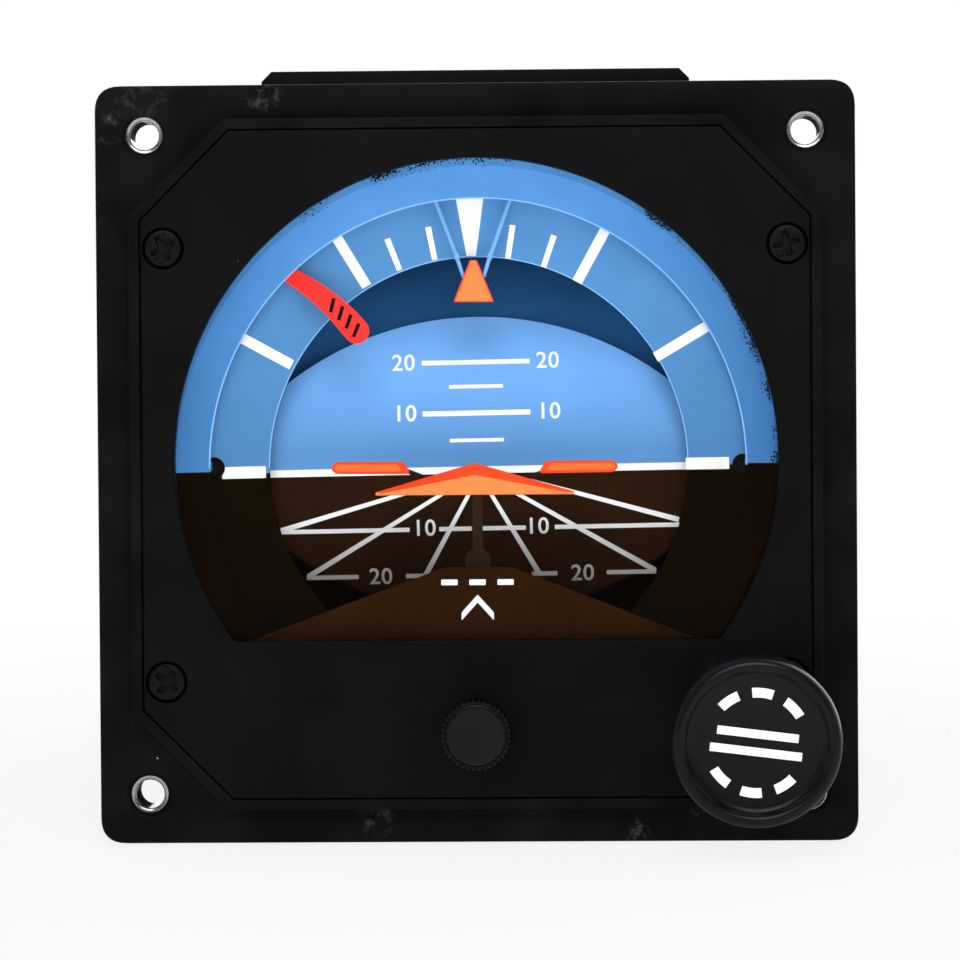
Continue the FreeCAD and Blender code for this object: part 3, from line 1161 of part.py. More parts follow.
def pitch_drum():
    wall = tube("drum_tube", "drum_radius", "drum_radius - drum_wall", "2 * drum_half",
                ("-drum_half", PITCH_Y, DIAL_Z), "X")
    upper = rod("drum_upper_trim", "drum_trim", "drum_radius",
                ("0", f"({DRUM_FRONT} - 2)", f"({DIAL_Z} - drum_sink)"))
    lower = rod("drum_lower_trim", "drum_trim", "drum_radius",
                ("0", f"({DRUM_FRONT} - 2)", f"({DIAL_Z} + drum_sink)"))
    keep(shared("horizon_drum", wall, shared("drum_outline", upper, lower)), "horizon_drum")

    brackets = []
    for side in ("-", ""):
        left = "(drum_half - 1.4)" if side == "" else "-(drum_half - 0.4)"
        reach = f"({PITCH_Y} - {DRUM_FRONT} - drum_wall - seat_gap)"
        arm = box("bracket_arm", ("1.0", reach, "3.6"),
                  (left, f"({DRUM_FRONT} + drum_wall + seat_gap)", f"({DIAL_Z} - 1.8)"))
        hub = rod("bracket_hub", "4.0", "1.0", (left, PITCH_Y, DIAL_Z), "X")
        hole = rod("bracket_hole", "pivot_radius + bore_gap", "4.0", (f"{left} - 1.5", PITCH_Y, DIAL_Z), "X")
        brackets.append(minus("drum_bracket", joined("bracket_metal", [arm, hub]), [hole]))
    keep(group("drum_brackets", brackets), "drum_brackets")

    shafts = []
    for side in ("-", ""):
        inner = "(housing_radius + 0.8)"
        length = f"(arm_inner + arm_thickness - 0.1 - {inner})"
        left = inner if side == "" else f"-(arm_inner + arm_thickness - 0.1)"
        shafts.append(rod("pitch_shaft", "pivot_radius", length, (left, PITCH_Y, DIAL_Z), "X"))
    keep(group("pitch_shafts", shafts), "pitch_shafts")


def gyro():
    spot = ("0", PITCH_Y, DIAL_Z)
    boss_top = "4.0"
    floor = "-(housing_bottom - housing_wall - 0.5)"
    cup = turned("housing_cup", [
        ("3.0", "-housing_bottom + 4.5"), ("3.0", boss_top), ("5.0", boss_top), ("5.0", f"({floor} + 6)"),
        ("7.0", f"({floor} + 6)"), ("7.0", floor), ("housing_radius - housing_wall", floor),
        ("housing_radius - housing_wall", "housing_split"), ("housing_radius", "housing_split"),
        ("housing_radius", "-housing_bottom + 1"), ("housing_radius - 1", "-housing_bottom"),
        ("spin_bearing + bore_gap", "-housing_bottom"), ("spin_bearing + bore_gap", "-housing_bottom + 4.5"),
    ], "Z", spot)
    trunnions = []
    for side in ("-", ""):
        length = "(drum_half - 1.45 - housing_radius + 2.0)"
        left = "(housing_radius - 2.0)" if side == "" else "-(drum_half - 1.45)"
        trunnions.append(rod("trunnion", "4.0", length, (left, PITCH_Y, DIAL_Z), "X"))
    pivots = []
    for side in ("-", ""):
        left = "(housing_radius + 0.75)" if side == "" else "-(housing_radius + 10.75)"
        pivots.append(rod("pivot_hole", "pivot_radius + bore_gap", "10", (left, PITCH_Y, DIAL_Z), "X"))
    cavity = rod("housing_cavity", "housing_radius - housing_wall", "housing_split + 8",
                 ("0", PITCH_Y, f"({DIAL_Z} - 8)"), "Z")
    trunnion_metal = minus("trunnion_metal", joined("trunnions", trunnions), [cavity])
    metal = joined("housing_metal", [cup, trunnion_metal])
    for x, y in housing_screw_spots():
        pivots.append(rod("housing_screw_hole", f"({CASE_SCREW[2]} + bore_gap)", "3",
                          (x, y, f"({DIAL_Z} + housing_split - 1.9)"), "Z"))
    keep(minus("gyro_housing", metal, pivots), "gyro_housing")

    keep(cover_of_housing(spot), "gyro_cover")
    screw = cross_head_screw("housing_screw", *CASE_SCREW, False)
    head_top = f"({DIAL_Z} + housing_split + 1.5 + {CASE_SCREW[1]})"
    spots = [(x, y, head_top) for x, y in housing_screw_spots()]
    keep(group("gyro_cover_screws", copies("housing_screw", screw, spots, "Z", (15, 50, 80))),
         "gyro_cover_screws")

    keep(tube("motor_stator", "stator_radius", "5.05", "12.0", ("0", PITCH_Y, f"({DIAL_Z} - 9.0)"), "Z"),
         "motor_stator")
    lower = tube("spin_bearing", "spin_bearing", "rotor_shaft + run_gap", "3.2",
                 ("0", PITCH_Y, f"({DIAL_Z} - housing_bottom + 1.2)"), "Z")
    upper = tube("spin_bearing", "spin_bearing", "rotor_shaft + run_gap", "3.2",
                 ("0", PITCH_Y, f"({DIAL_Z} + housing_top - 6.2)"), "Z")
    keep(group("spin_bearings", [lower, upper]), "spin_bearings")
    keep(turned("pendulous_weight", [
        ("0", "-housing_bottom - weight_height"), ("weight_radius - 1", "-housing_bottom - weight_height"),
        ("weight_radius", "-housing_bottom - weight_height + 1"), ("weight_radius", "-housing_bottom"),
        ("0", "-housing_bottom"),
    ], "Z", spot), "pendulous_weight")

    half = "rotor_height / 2"
    keep(turned("gyro_rotor", [
        ("rotor_shaft + bore_gap", f"({half} - 6)"), ("rotor_shaft + bore_gap", f"({half} + 0.5)"),
        ("5.0", f"({half} + 0.5)"), ("5.0", half), ("rotor_radius", half), ("rotor_radius", f"-{half}"),
        ("stator_radius + 0.8", f"-{half}"), ("stator_radius + 0.8", f"({half} - 5)"),
        ("5.0", f"({half} - 5)"),
        ("5.0", f"({half} - 6)"),
    ], "Z", spot), "gyro_rotor")
    keep(rod("rotor_axle", "rotor_shaft", "housing_top + housing_bottom - 4.8",
             ("0", PITCH_Y, f"({DIAL_Z} - housing_bottom + 1.0)"), "Z"), "rotor_shaft")


def housing_screw_spots():
    """X and Y of the four lid screws, at 45 degrees round the housing wall."""
    reach = f"({math.sqrt(0.5):.6f} * (housing_radius - housing_wall / 2))"
    return [(f"{across}{reach}", f"({PITCH_Y} {along} {reach})") for across in ("", "-") for along in ("+",
                                                                                                       "-")]


def cover_of_housing(spot):
    """Lid of the gyro housing, with screw ears sunk into its rim."""
    inner = "(housing_radius - housing_wall)"
    lid = turned("cover_blank", [
        ("housing_radius", "housing_split + 0.02"), ("housing_radius", "housing_top - 1"),
        ("housing_radius - 1", "housing_top"),
        ("0", "housing_top"), ("0", "housing_top - 2.5"), ("spin_bearing + bore_gap", "housing_top - 2.5"),
        ("spin_bearing + bore_gap", "housing_top - 6.5"), ("7.0", "housing_top - 6.5"),
        ("7.0", "housing_top - 3"),
        (inner, "housing_top - 3"), (inner, "housing_split + 0.02"),
    ], "Z", spot)
    tools = []
    for x, y in housing_screw_spots():
        tools.append(rod("ear_recess", "1.9", "12", (x, y, f"({DIAL_Z} + housing_split + 1.5)"), "Z"))
        tools.append(rod("ear_hole", f"({CASE_SCREW[2]} + 0.1)", "6",
                         (x, y, f"({DIAL_Z} + housing_split - 1)"), "Z"))
    return minus("gyro_lid", lid, tools)


# ---------------------------------------------------------------- case and rear


def octagon_tube(name, outer, inner, front, length):
    """Tube between two outlines."""
    outside = body(name + "_outside")
    pad(outside, "XZ", front, length, outer)
    inside = body(name + "_inside")
    pad(inside, "XZ", f"({front} - 1)", f"({length} + 2)", inner)
    return minus(name, outside, [inside])


def case_parts():
    outer = octagon("octagon_width", "octagon_cut")
    inner = octagon(CASE_INNER, CASE_INNER_CUT)
    shell = octagon_tube("case_blank", outer, inner, CASE_FRONT, "case_length")
    stations = (
        "flange_thickness + seal_thickness + 4.0",
        f"({BULKHEAD_FRONT} + bulkhead_thickness / 2)",
        f"({CASE_BACK} - spigot_depth / 2)",
    )
    tools = []
    screws = []
    master = cross_head_screw("case_screw", *CASE_SCREW, False)
    top = "octagon_width / 2"
    for station in stations:
        for side in ("-", ""):
            for up, facing in (("-", "-Z"), ("", "Z")):
                start = (f"{side}case_screw_x", station, f"{up}({top} - case_wall - 1)")
                tools.append(rod("case_hole", f"({CASE_SCREW[2]} + 0.1)", "case_wall + 2", start, facing))
                head = (f"{side}case_screw_x", station, f"{up}({top} + {CASE_SCREW[1]})")
                screws += copies("case_screw", master, [head], facing, (35,))
    keep(minus("case_shell", shell, tools), "case_shell")
    keep(group("case_screws", screws), "case_screws")
    keep(octagon_tube("front_seal", outer, inner, "flange_thickness", "seal_thickness"), "front_seal")
    keep(octagon_tube("rear_seal", outer, inner, CASE_BACK, "seal_thickness"), "rear_seal")

    cover = body("cover_plate_rear")
    pad(cover, "XZ", COVER_FRONT, "rear_thickness", outer)
    spigot = octagon_tube("spigot", inside_case(), inside_case("(case_gap + spigot_wall)"),
                          f"({CASE_BACK} - spigot_depth)", "(spigot_depth + seal_thickness + 0.1)")
    tools = [rod("wire_hole", "plug_radius - 1.6", "rear_thickness + 2", ("0", f"({COVER_FRONT} - 1)", "0"))]
    for side in ("-", ""):
        for up, facing in (("-", "-Z"), ("", "Z")):
            start = (f"{side}case_screw_x", stations[2], f"{up}({CASE_SIDE} - 3.2)")
            tools.append(rod("spigot_hole", f"({CASE_SCREW[2]} + bore_gap)", "4.0", start, facing))
            spot = (f"{side}(plug_flange / 2 - 2.6)", f"({COVER_BACK} - 2.2)", f"{up}(plug_flange / 2 - 2.6)")
            tools.append(rod("plug_screw_hole", f"({SMALL_SCREW[2]} + bore_gap)", "3.0", spot))
    keep(minus("rear_cover", joined("rear_metal", [cover, spigot]), tools), "rear_cover")


# How many pins sit on a circle of which radius.
PIN_RINGS = ((1, 0.0), (7, 3.2), (12, 5.6))


def connector():
    half = "plug_flange / 2"
    base = body("plug_base")
    pad(base, "XZ", COVER_BACK, "2.0", rectangle(f"-{half}", half, f"-{half}", half))
    barrel = rod("plug_barrel", "plug_radius", "plug_length + 2.0", ("0", COVER_BACK, "0"))
    tools = [rod("plug_bore", "plug_radius - 1.5", "plug_length + 10", ("0", f"({COVER_BACK} - 1)", "0"))]
    spots = []
    for side in ("-", ""):
        for up in ("-", ""):
            spots.append((f"{side}({half} - 2.6)", f"({COVER_BACK} + 2.0)", f"{up}({half} - 2.6)"))
    tools += [countersunk_hole("plug_seat", SMALL_SCREW, spot, "Y") for spot in spots]
    keep(minus("connector_shell", joined("plug_metal", [base, barrel]), tools), "connector_shell")

    pins = []
    sockets = []
    insert_back = f"({COVER_BACK} + 8.0)"
    for count, ring in PIN_RINGS:
        for index in range(count):
            angle = 2 * math.pi * index / count
            x = f"{ring * math.cos(angle):.4f}"
            z = f"{ring * math.sin(angle):.4f}"
            pins.append(rod("contact_pin", "0.5", "9.0", (x, f"({insert_back} - 4.0)", z)))
            sockets.append(rod("contact_hole", "0.52", "4.2", (x, f"({insert_back} - 4.1)", z)))
    disc = rod("insert_disc", "plug_radius - 1.5 - bore_gap", "8.0", ("0", COVER_BACK, "0"))
    keep(minus("connector_insert", disc, sockets), "connector_insert")
    keep(group("connector_pins", pins), "connector_pins")

    master = cross_head_screw("small_screw", *SMALL_SCREW, True)
    screws = copies("small_screw", master, spots, "Y", (20, 50))
    cover_spots = [(f"{side}cover_screw", "flange_thickness", "-adjust_drop") for side in ("-", "")]
    screws += copies("small_screw", master, cover_spots, "Y", (5, 60))
    hood_top = "octagon_width / 2 + hood_height"
    screws += copies("small_screw", master, [(x, y, hood_top) for x, y in hood_screw_spots()], "Z", (30, 70))
    keep(group("small_screws", screws), "small_screws")


HOOD_FRONT = "(flange_thickness + 1.1)"
HOOD_BACK = f"({HOOD_FRONT} + hood_length)"


# Left edge, distance behind the board's front edge, width, length and height.
BOARD_COMPONENTS = (
    ("-16", "10", "9", "12", "1.9"), ("4", "12", "12", "9", "1.6"), ("-6", "30", "14", "10", "2.0"),
    ("-15", "46", "7", "7", "1.7"), ("6", "44", "10", "8", "1.5"),
)


def hood_screw_spots():
    edge = "(hood_width / 2 - 3.2)"
    return [(f"{side}{edge}", station) for side in ("-", "")
            for station in (f"({HOOD_FRONT} + 3.2)", f"({HOOD_BACK} - 3.2)")]


def top_cover():
    part = body("hood_blank")
    base = "octagon_width / 2"
    high = f"({base} + hood_height)"
    half = "hood_width / 2"
    bevel = "1.2"
    pad(part, "XZ", HOOD_FRONT, "hood_length", [
        (f"-{half}", base), (half, base), (half, f"({high} - {bevel})"), (f"({half} - {bevel})", high),
        (f"-({half} - {bevel})", high), (f"-{half}", f"({high} - {bevel})"),
    ])
    inner = f"({half} - hood_wall)"
    pocket(part, "XZ", f"({HOOD_FRONT} + hood_wall)", "hood_length - 2 * hood_wall",
           rectangle(f"-{inner}", inner, f"({base} - 1)", f"({high} - hood_wall)"))
    posts = [rod("hood_post", "1.9", "hood_height - 0.2", (x, y, base), "Z") for x, y in hood_screw_spots()]
    tools = [countersunk_hole("hood_seat", SMALL_SCREW, (x, y, high), "Z") for x, y in hood_screw_spots()]
    keep(minus("top_cover", joined("hood_metal", [part] + posts), tools), "top_cover")

    board_front = f"({HOOD_FRONT} + (hood_length - board_length) / 2)"
    board_z = f"({base} + 1.6)"
    board = body("board_blank")
    notch = "3.4"
    half_board = "board_width / 2"
    pad(board, "XY", board_z, "1.2", [
        (f"-{half_board} + {notch}", board_front), (f"{half_board} - {notch}", board_front),
        (f"{half_board} - {notch}", f"({board_front} + {notch})"), (half_board, f"({board_front} + {notch})"),
        (half_board, f"({board_front} + board_length - {notch})"),
        (f"{half_board} - {notch}", f"({board_front} + board_length - {notch})"),
        (f"{half_board} - {notch}", f"({board_front} + board_length)"),
        (f"-{half_board} + {notch}", f"({board_front} + board_length)"),
        (f"-{half_board} + {notch}", f"({board_front} + board_length - {notch})"),
        (f"-{half_board}", f"({board_front} + board_length - {notch})"),
        (f"-{half_board}", f"({board_front} + {notch})"),
        (f"-{half_board} + {notch}", f"({board_front} + {notch})"),
    ])
    pieces = [board]
    top = f"({board_z} + 1.15)"
    for x, y, wide, deep, tall in BOARD_COMPONENTS:
        pieces.append(box("board_component", (wide, deep, tall), (x, f"({board_front} + {y})", top)))
    for x in ("-14", "14"):
        for y in ("6", "board_length - 6"):
            pieces.append(rod("board_foot", "1.4", "1.7", (x, f"({board_front} + {y})", base), "Z"))
    keep(joined("circuit_board", pieces), "circuit_board")


# ---------------------------------------------------------------- build and write

flange_bezel()
front_plate()
glass_and_mask()
bank_pointer()
warning_flag()
symbol_parts()
adjust_drive()
quick_erect()
roll_gimbal()
roll_shaft()
pitch_drum()
gyro()
case_parts()
connector()
top_cover()

sheet.clear(SCRATCH_CELL)
doc.recompute()

for thing in doc.Objects:
    if "Invalid" in thing.State or "Error" in thing.State:
        raise RuntimeError(f"{thing.Name} failed: {thing.State}")

os.makedirs("parts", exist_ok=True)
for thing in NODES:
    if thing.Shape.isNull() or not thing.Shape.isValid():
        raise RuntimeError(f"{thing.Label} has no valid shape")
    thing.Shape.exportStep(f"parts/{thing.Label}.step")
    print(f"{thing.Label}: {len(thing.Shape.Solids)} solids, {thing.Shape.Volume:.1f} mm3")
print(f"{len(NODES)} sub-parts")
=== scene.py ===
import math
from contextlib import contextmanager

import bmesh
import bpy
from mathutils import Matrix, Vector


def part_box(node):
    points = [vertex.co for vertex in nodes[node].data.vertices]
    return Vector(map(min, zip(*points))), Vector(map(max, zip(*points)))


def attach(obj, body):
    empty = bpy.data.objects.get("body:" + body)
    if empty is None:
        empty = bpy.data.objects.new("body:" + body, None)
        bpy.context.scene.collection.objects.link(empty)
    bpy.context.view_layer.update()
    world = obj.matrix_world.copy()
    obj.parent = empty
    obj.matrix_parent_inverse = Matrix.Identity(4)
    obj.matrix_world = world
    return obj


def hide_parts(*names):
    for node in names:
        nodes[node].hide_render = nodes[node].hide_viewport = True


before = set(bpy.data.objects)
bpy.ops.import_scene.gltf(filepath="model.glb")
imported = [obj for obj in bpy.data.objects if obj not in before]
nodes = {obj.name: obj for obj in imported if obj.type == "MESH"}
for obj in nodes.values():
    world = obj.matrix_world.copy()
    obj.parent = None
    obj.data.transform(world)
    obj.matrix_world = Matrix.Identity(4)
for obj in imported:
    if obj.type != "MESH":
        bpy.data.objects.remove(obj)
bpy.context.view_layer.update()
scene = bpy.context.scene

# An attitude indicator, built in metres. Sizes written here are millimetres and go through MM.
# +Z is up and the pilot looks along +Y.
MM = 0.001
PILOT_VIEW = Matrix(((1, 0, 0, 0), (0, 0, -1, 0), (0, 1, 0, 0), (0, 0, 0, 1)))
WELD = 2e-6
DRAWING_WELD = 1e-4


def reach(node):
    """Lowest and highest corner of a CAD node, in millimetres."""
    low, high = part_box(node)
    return low / MM, high / MM


bezel_low, bezel_high = reach("flange_bezel")
ring_low, ring_high = reach("bank_ring")
drum_low, _ = reach("horizon_drum")
mask_low, mask_high = reach("mask_ring")
plate_low, plate_high = reach("front_plate")
DIAL = Vector((0, 0, (ring_low.z + ring_high.z) / 2))
# The gimbals rest a touch left wing low, and the dial's paint sits left of centre.
DIAL_TILT = math.radians(0.75)
MARK_SHIFT = -0.35
DRUM_SHIFT = -0.2
SYMBOL_SHIFT = -0.3
# The round window's centre lies this much above the origin.
WINDOW_RISE = 0.4


# ---------------------------------------------------------------- small tools


def add(tree, kind, inputs=None, out=None, **settings):
    """Add a node with its settings. Inputs are plain values, or sockets to link. The answer is the
    node, or the output that out names."""
    node = tree.nodes.new(kind)
    for name, value in settings.items():
        setattr(node, name, value)
    for name, value in (inputs or {}).items():
        socket = node.inputs[name]
        if isinstance(value, bpy.types.NodeSocket):
            tree.links.new(value, socket)
        else:
            socket.default_value = value
    return node if out is None else node.outputs[out]


def colour(code):
    """sRGB hex to linear RGBA."""
    parts = [int(code[i:i + 2], 16) / 255 for i in (1, 3, 5)]
    return [c / 12.92 if c <= 0.04045 else ((c + 0.055) / 1.055) ** 2.4 for c in parts] + [1.0]


@contextmanager
def opened(piece):
    """A piece's mesh, open for editing and then written back."""
    shape = bmesh.new()
    shape.from_mesh(piece.data)
    yield shape
    shape.to_mesh(piece.data)
    shape.free()


def shown(name, data):
    """A new object that holds a mesh or a curve."""
    piece = bpy.data.objects.new(name, data)
    scene.collection.objects.link(piece)
    return piece


def made(name, shape, outwards=True):
    """A piece from an edited mesh."""
    if outwards:
        bmesh.ops.recalc_face_normals(shape, faces=shape.faces)
    mesh = bpy.data.meshes.new(name)
    shape.to_mesh(mesh)
    shape.free()
    return shown(name, mesh)


def settled(piece):
    """Turn an object and its modifiers into a plain mesh at the origin."""
    bpy.context.view_layer.update()
    graph = bpy.context.evaluated_depsgraph_get()
    mesh = bpy.data.meshes.new_from_object(piece.evaluated_get(graph))
    mesh.transform(piece.matrix_world)
    name = piece.name
    bpy.data.objects.remove(piece)
    return shown(name, mesh)


def merge(piece, gap=WELD):
    """Make points that lie together one."""
    with opened(piece) as shape:
        bmesh.ops.remove_doubles(shape, verts=shape.verts, dist=gap)
    return piece


def smooth(piece, degrees=32):
    """Smooth shading, with edges sharper than the angle kept crisp."""
    piece.data.shade_smooth()
    with opened(piece) as shape:
        for edge in shape.edges:
            edge.smooth = len(edge.link_faces) == 2 and edge.calc_face_angle(0) < math.radians(degrees)
    return piece


def paint_with(piece, *materials):
    piece.data.materials.clear()
    for material in materials:
        piece.data.materials.append(material)
    return piece


def finish_piece(piece, body, replaced):
    """Hide the CAD parts that a finished piece replaces and hang the piece on its body."""
    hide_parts(*replaced)
    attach(piece, body)


def polar(degrees, radius=1.0):
    return Vector((math.cos(math.radians(degrees)), math.sin(math.radians(degrees)))) * radius


def arc(radius, first, last, count, x=0.0, z=0.0):
    """Points along an arc, from one angle to another in radians."""
    turns = [first + (last - first) * i / count for i in range(count + 1)]
    return [(x + radius * math.cos(turn), z + radius * math.sin(turn)) for turn in turns]


def circle(radius, count=96, x=0.0, z=0.0):
    return arc(radius, 0.0, 2 * math.pi, count, x, z)[:-1]


def rectangle(left, right, low, high):
    return [(left, low), (right, low), (right, high), (left, high)]


def mirrored_outline(half_outline):
    """Whole outline from its right half, which runs clockwise from the top."""
    return half_outline + [(-x, z) for x, z in half_outline[::-1] if x > 0]


def cut_octagon(width, leg):
    """Square with cut corners. leg is the length of a cut along each side."""
    half = width / 2
    near = half - leg
    return [
        (-near, -half), (near, -half), (half, -near), (half, near),
        (near, half), (-near, half), (-half, near), (-half, -near),
    ]


def eased(points, radius, steps=5):
    """Round the corners of a closed outline."""
    result = []
    for i, corner in enumerate(points):
        here = Vector(corner)
        before = Vector(points[i - 1]) - here
        after = Vector(points[(i + 1) % len(points)]) - here
        half_angle = before.angle(after) / 2
        run = min(radius / max(math.tan(half_angle), 1e-3), before.length * 0.45, after.length * 0.45)
        start = here + before.normalized() * run
        end = here + after.normalized() * run
        for step in range(steps + 1):
            t = step / steps
            result.append(tuple(start.lerp(here, t).lerp(here.lerp(end, t), t)))
    return result


def strip(start, end, width_start, width_end, steps=10):
    """Long narrow outline between two points, with points along it so that it can follow a curve."""
    one, two = Vector(start), Vector(end)
    side = (two - one).orthogonal().normalized()
    upper, lower = [], []
    for i in range(steps + 1):
        middle = one.lerp(two, i / steps)
        out = side * (width_start + (width_end - width_start) * i / steps) / 2
        upper.append(tuple(middle + out))
        lower.append(tuple(middle - out))
    return upper + lower[::-1]


def level_strip(left, right, z, width, steps=6):
    return strip((left, z), (right, z), width, width, steps)


def drawn(name, outlines, **settings):
    """Closed outlines, in millimetres, as one filled flat curve."""
    drawing = bpy.data.curves.new(name, "CURVE")
    drawing.dimensions = "2D"
    drawing.fill_mode = "BOTH"
    for setting, value in settings.items():
        setattr(drawing, setting, value)
    for outline in outlines:
        spline = drawing.splines.new("POLY")
        spline.points.add(len(outline) - 1)
        for point, (x, z) in zip(spline.points, outline):
            point.co = (x, z, 0, 1)
        spline.use_cyclic_u = True
    return shown(name, drawing)


def flat_piece(name, outlines, front, back, edge=0.15, rounds=2):
    """Flat part that faces the pilot: outer outline and holes in millimetres, with rounded edges."""
    piece = drawn(
        name, outlines, extrude=(back - front) / 2 - edge, bevel_depth=edge, bevel_resolution=rounds, offset=-edge,
    )
    depth = Matrix.Translation((0, (front + back) / 2 * MM, 0))
    piece.matrix_world = depth @ PILOT_VIEW @ Matrix.Scale(MM, 4)
    return smooth(merge(settled(piece)))


def printed(name, outline, face, edge=0.004):
    """Thin print on a flat face at a depth."""
    return flat_piece(name, [outline], face - 0.03, face + 0.02, edge, 0)


def turned(name, profile, centre=(0, 0, 0), count=192):
    """Part turned about an axis along Y: (radius, y) points in millimetres, going round the section."""
    shape = bmesh.new()
    rows = []
    for radius, y in profile:
        ring = circle(radius, count if radius > 0 else 1, centre[0], centre[2])
        rows.append([shape.verts.new(Vector((x, y, z)) * MM) for x, z in ring])
    for one, two in zip(rows, rows[1:] + rows[:1]):
        for i in range(count):
            ends = [(one, i), (one, i + 1), (two, i + 1), (two, i)]
            corners = list(dict.fromkeys(row[k % len(row)] for row, k in ends))
            if len(corners) > 2:
                shape.faces.new(corners)
    return smooth(made(name, shape), 40)


def joined(name, pieces):
    """One mesh from several pieces, with one material slot for each finish."""
    materials = []
    shape = bmesh.new()
    for piece in pieces:
        first = len(shape.faces)
        shape.from_mesh(piece.data)
        own = list(piece.data.materials)
        materials += [material for material in own if material not in materials]
        shape.faces.ensure_lookup_table()
        for face in shape.faces[first:]:
            if own:
                face.material_index = materials.index(own[min(face.material_index, len(own) - 1)])
        bpy.data.objects.remove(piece)
    whole = made(name, shape, outwards=False)
    for material in materials:
        whole.data.materials.append(material)
    return whole


def eased_copy(node, width):
    """A CAD part's own shape with its sharp edges rounded."""
    mesh = nodes[node].data.copy()
    mesh.name = node + "_eased"
    piece = shown(node + "_eased", mesh)
    with opened(piece) as shape:
        bmesh.ops.remove_doubles(shape, verts=shape.verts, dist=WELD)
        bmesh.ops.dissolve_limit(shape, angle_limit=math.radians(0.6), verts=shape.verts, edges=shape.edges)
    bevel = piece.modifiers.new("eased edges", "BEVEL")
    bevel.width = width * MM
    bevel.segments = 2
    bevel.limit_method = "ANGLE"
    bevel.angle_limit = math.radians(30)
    return smooth(settled(piece), 35)


# ---------------------------------------------------------------- repeats made with Geometry Nodes


def copying_tree(name, **wanted):
    """A geometry tree with the wanted inputs besides those of every copying tree."""
    tree = bpy.data.node_groups.new(name, "GeometryNodeTree")
    for label, kind in {**wanted, "Piece": "Object", "Finish": "Material"}.items():
        tree.interface.new_socket(label, in_out="INPUT", socket_type="NodeSocket" + kind)
    tree.interface.new_socket("Result", in_out="OUTPUT", socket_type="NodeSocketGeometry")
    return tree, add(tree, "NodeGroupInput").outputs


def place_copies(tree, given, points, turn):
    """Put the piece on the points, each copy with its own turn, and give them all one finish."""
    piece = add(tree, "GeometryNodeObjectInfo", {"Object": given["Piece"]}, "Geometry")
    placed = add(tree, "GeometryNodeInstanceOnPoints", {
        "Points": points, "Instance": piece, "Rotation": turn,
    }, "Instances")
    real = add(tree, "GeometryNodeRealizeInstances", {"Geometry": placed}, "Geometry")
    done = add(tree, "GeometryNodeSetMaterial", {"Geometry": real, "Material": given["Finish"]}, "Geometry")
    add(tree, "NodeGroupOutput", {"Result": done})
    return tree


def copies_tree():
    """Copies of a piece on marked points: each point carries a turn."""
    tree, given = copying_tree("copies on points", Points="Geometry")
    turn = add(tree, "GeometryNodeInputNamedAttribute", {"Name": "turn"}, "Attribute", data_type="FLOAT_VECTOR")
    return place_copies(tree, given, given["Points"], turn)


def toothed_ring_tree():
    """Ridges round a knob: one ridge is copied round the Y axis, with its foot inside the knob."""
    tree, given = copying_tree("toothed ring", Teeth="Int", Radius="Float")
    ring = add(tree, "GeometryNodeMeshCircle", {"Vertices": given["Teeth"], "Radius": given["Radius"]}, "Mesh")
    upright = add(tree, "GeometryNodeTransform", {"Geometry": ring, "Rotation": (math.pi / 2, 0, 0)}, "Geometry")
    index = add(tree, "GeometryNodeInputIndex", out="Index")
    share = add(tree, "ShaderNodeMath", {0: index, 1: given["Teeth"]}, 0, operation="DIVIDE")
    angle = add(tree, "ShaderNodeMath", {0: share, 1: -2 * math.pi}, 0, operation="MULTIPLY")
    turn = add(tree, "ShaderNodeCombineXYZ", {"Y": angle}, "Vector")
    return place_copies(tree, given, upright, turn)


def run_tree(piece, tree, values):
    """Run a tree on a piece, with its inputs given by name, and keep the result as a plain mesh."""
    step = piece.modifiers.new(tree.name, "NODES")
    step.node_group = tree
    for item in tree.interface.items_tree:
        if item.item_type == "SOCKET" and item.in_out == "INPUT" and item.name in values:
            step[item.identifier] = values[item.name]
    return settled(piece)


def copies(name, piece, spots, finish):
    """Copies of a piece that face the pilot, at (place in millimetres, spin in degrees)."""
    mesh = bpy.data.meshes.new(name)
    mesh.from_pydata([Vector(place) * MM for place, _ in spots], [], [])
    turn = mesh.attributes.new("turn", "FLOAT_VECTOR", "POINT")
    for row, (_, spin) in zip(turn.data, spots):
        row.vector = (PILOT_VIEW.to_3x3() @ Matrix.Rotation(math.radians(spin), 3, "Z")).to_euler()
    result = run_tree(shown(name, mesh), copies_tree(), {"Piece": piece, "Finish": finish})
    bpy.data.objects.remove(piece)
    return result


# ---------------------------------------------------------------- finishes


def bare_tree(owner):
    """The node tree of a material or a world, emptied."""
    owner.use_nodes = True
    owner.node_tree.nodes.clear()
    return owner.node_tree


def new_finish(name, **values):
    """A material with its shader and the object coordinates that its patterns read. Values are for
    the shader's own sockets, with _ for a space."""
    material = bpy.data.materials.new(name)
    tree = bare_tree(material)
    surface = add(tree, "ShaderNodeBsdfPrincipled", {key.replace("_", " "): values[key] for key in values})
    add(tree, "ShaderNodeOutputMaterial", {"Surface": surface.outputs["BSDF"]})
    return material, tree, surface, add(tree, "ShaderNodeTexCoord", out="Object")


def per_mm(size):
    """Scale of a pattern whose features are about size millimetres across."""
    return 1 / (size * MM)


def drift(tree, pattern, base, shade, low=0.3, high=0.7):
    """Slow change of tone along a pattern, between two colours."""
    share = add(tree, "ShaderNodeMapRange", {"Value": pattern, "From Min": low, "From Max": high}, "Result")
    return add(tree, "ShaderNodeMix", {"Factor": share, 6: colour(base), 7: colour(shade)}, 2, data_type="RGBA")


def by_distance(tree, place, spot, first, last, at_first=0.0, at_last=1.0):
    """Value that changes with the distance from a spot, between two distances. All in millimetres."""
    away = add(tree, "ShaderNodeVectorMath", {0: place, 1: Vector(spot) * MM}, "Value", operation="DISTANCE")
    return add(tree, "ShaderNodeMapRange", {
        "Value": away, "From Min": first * MM, "From Max": last * MM, "To Min": at_first, "To Max": at_last,
    }, "Result")


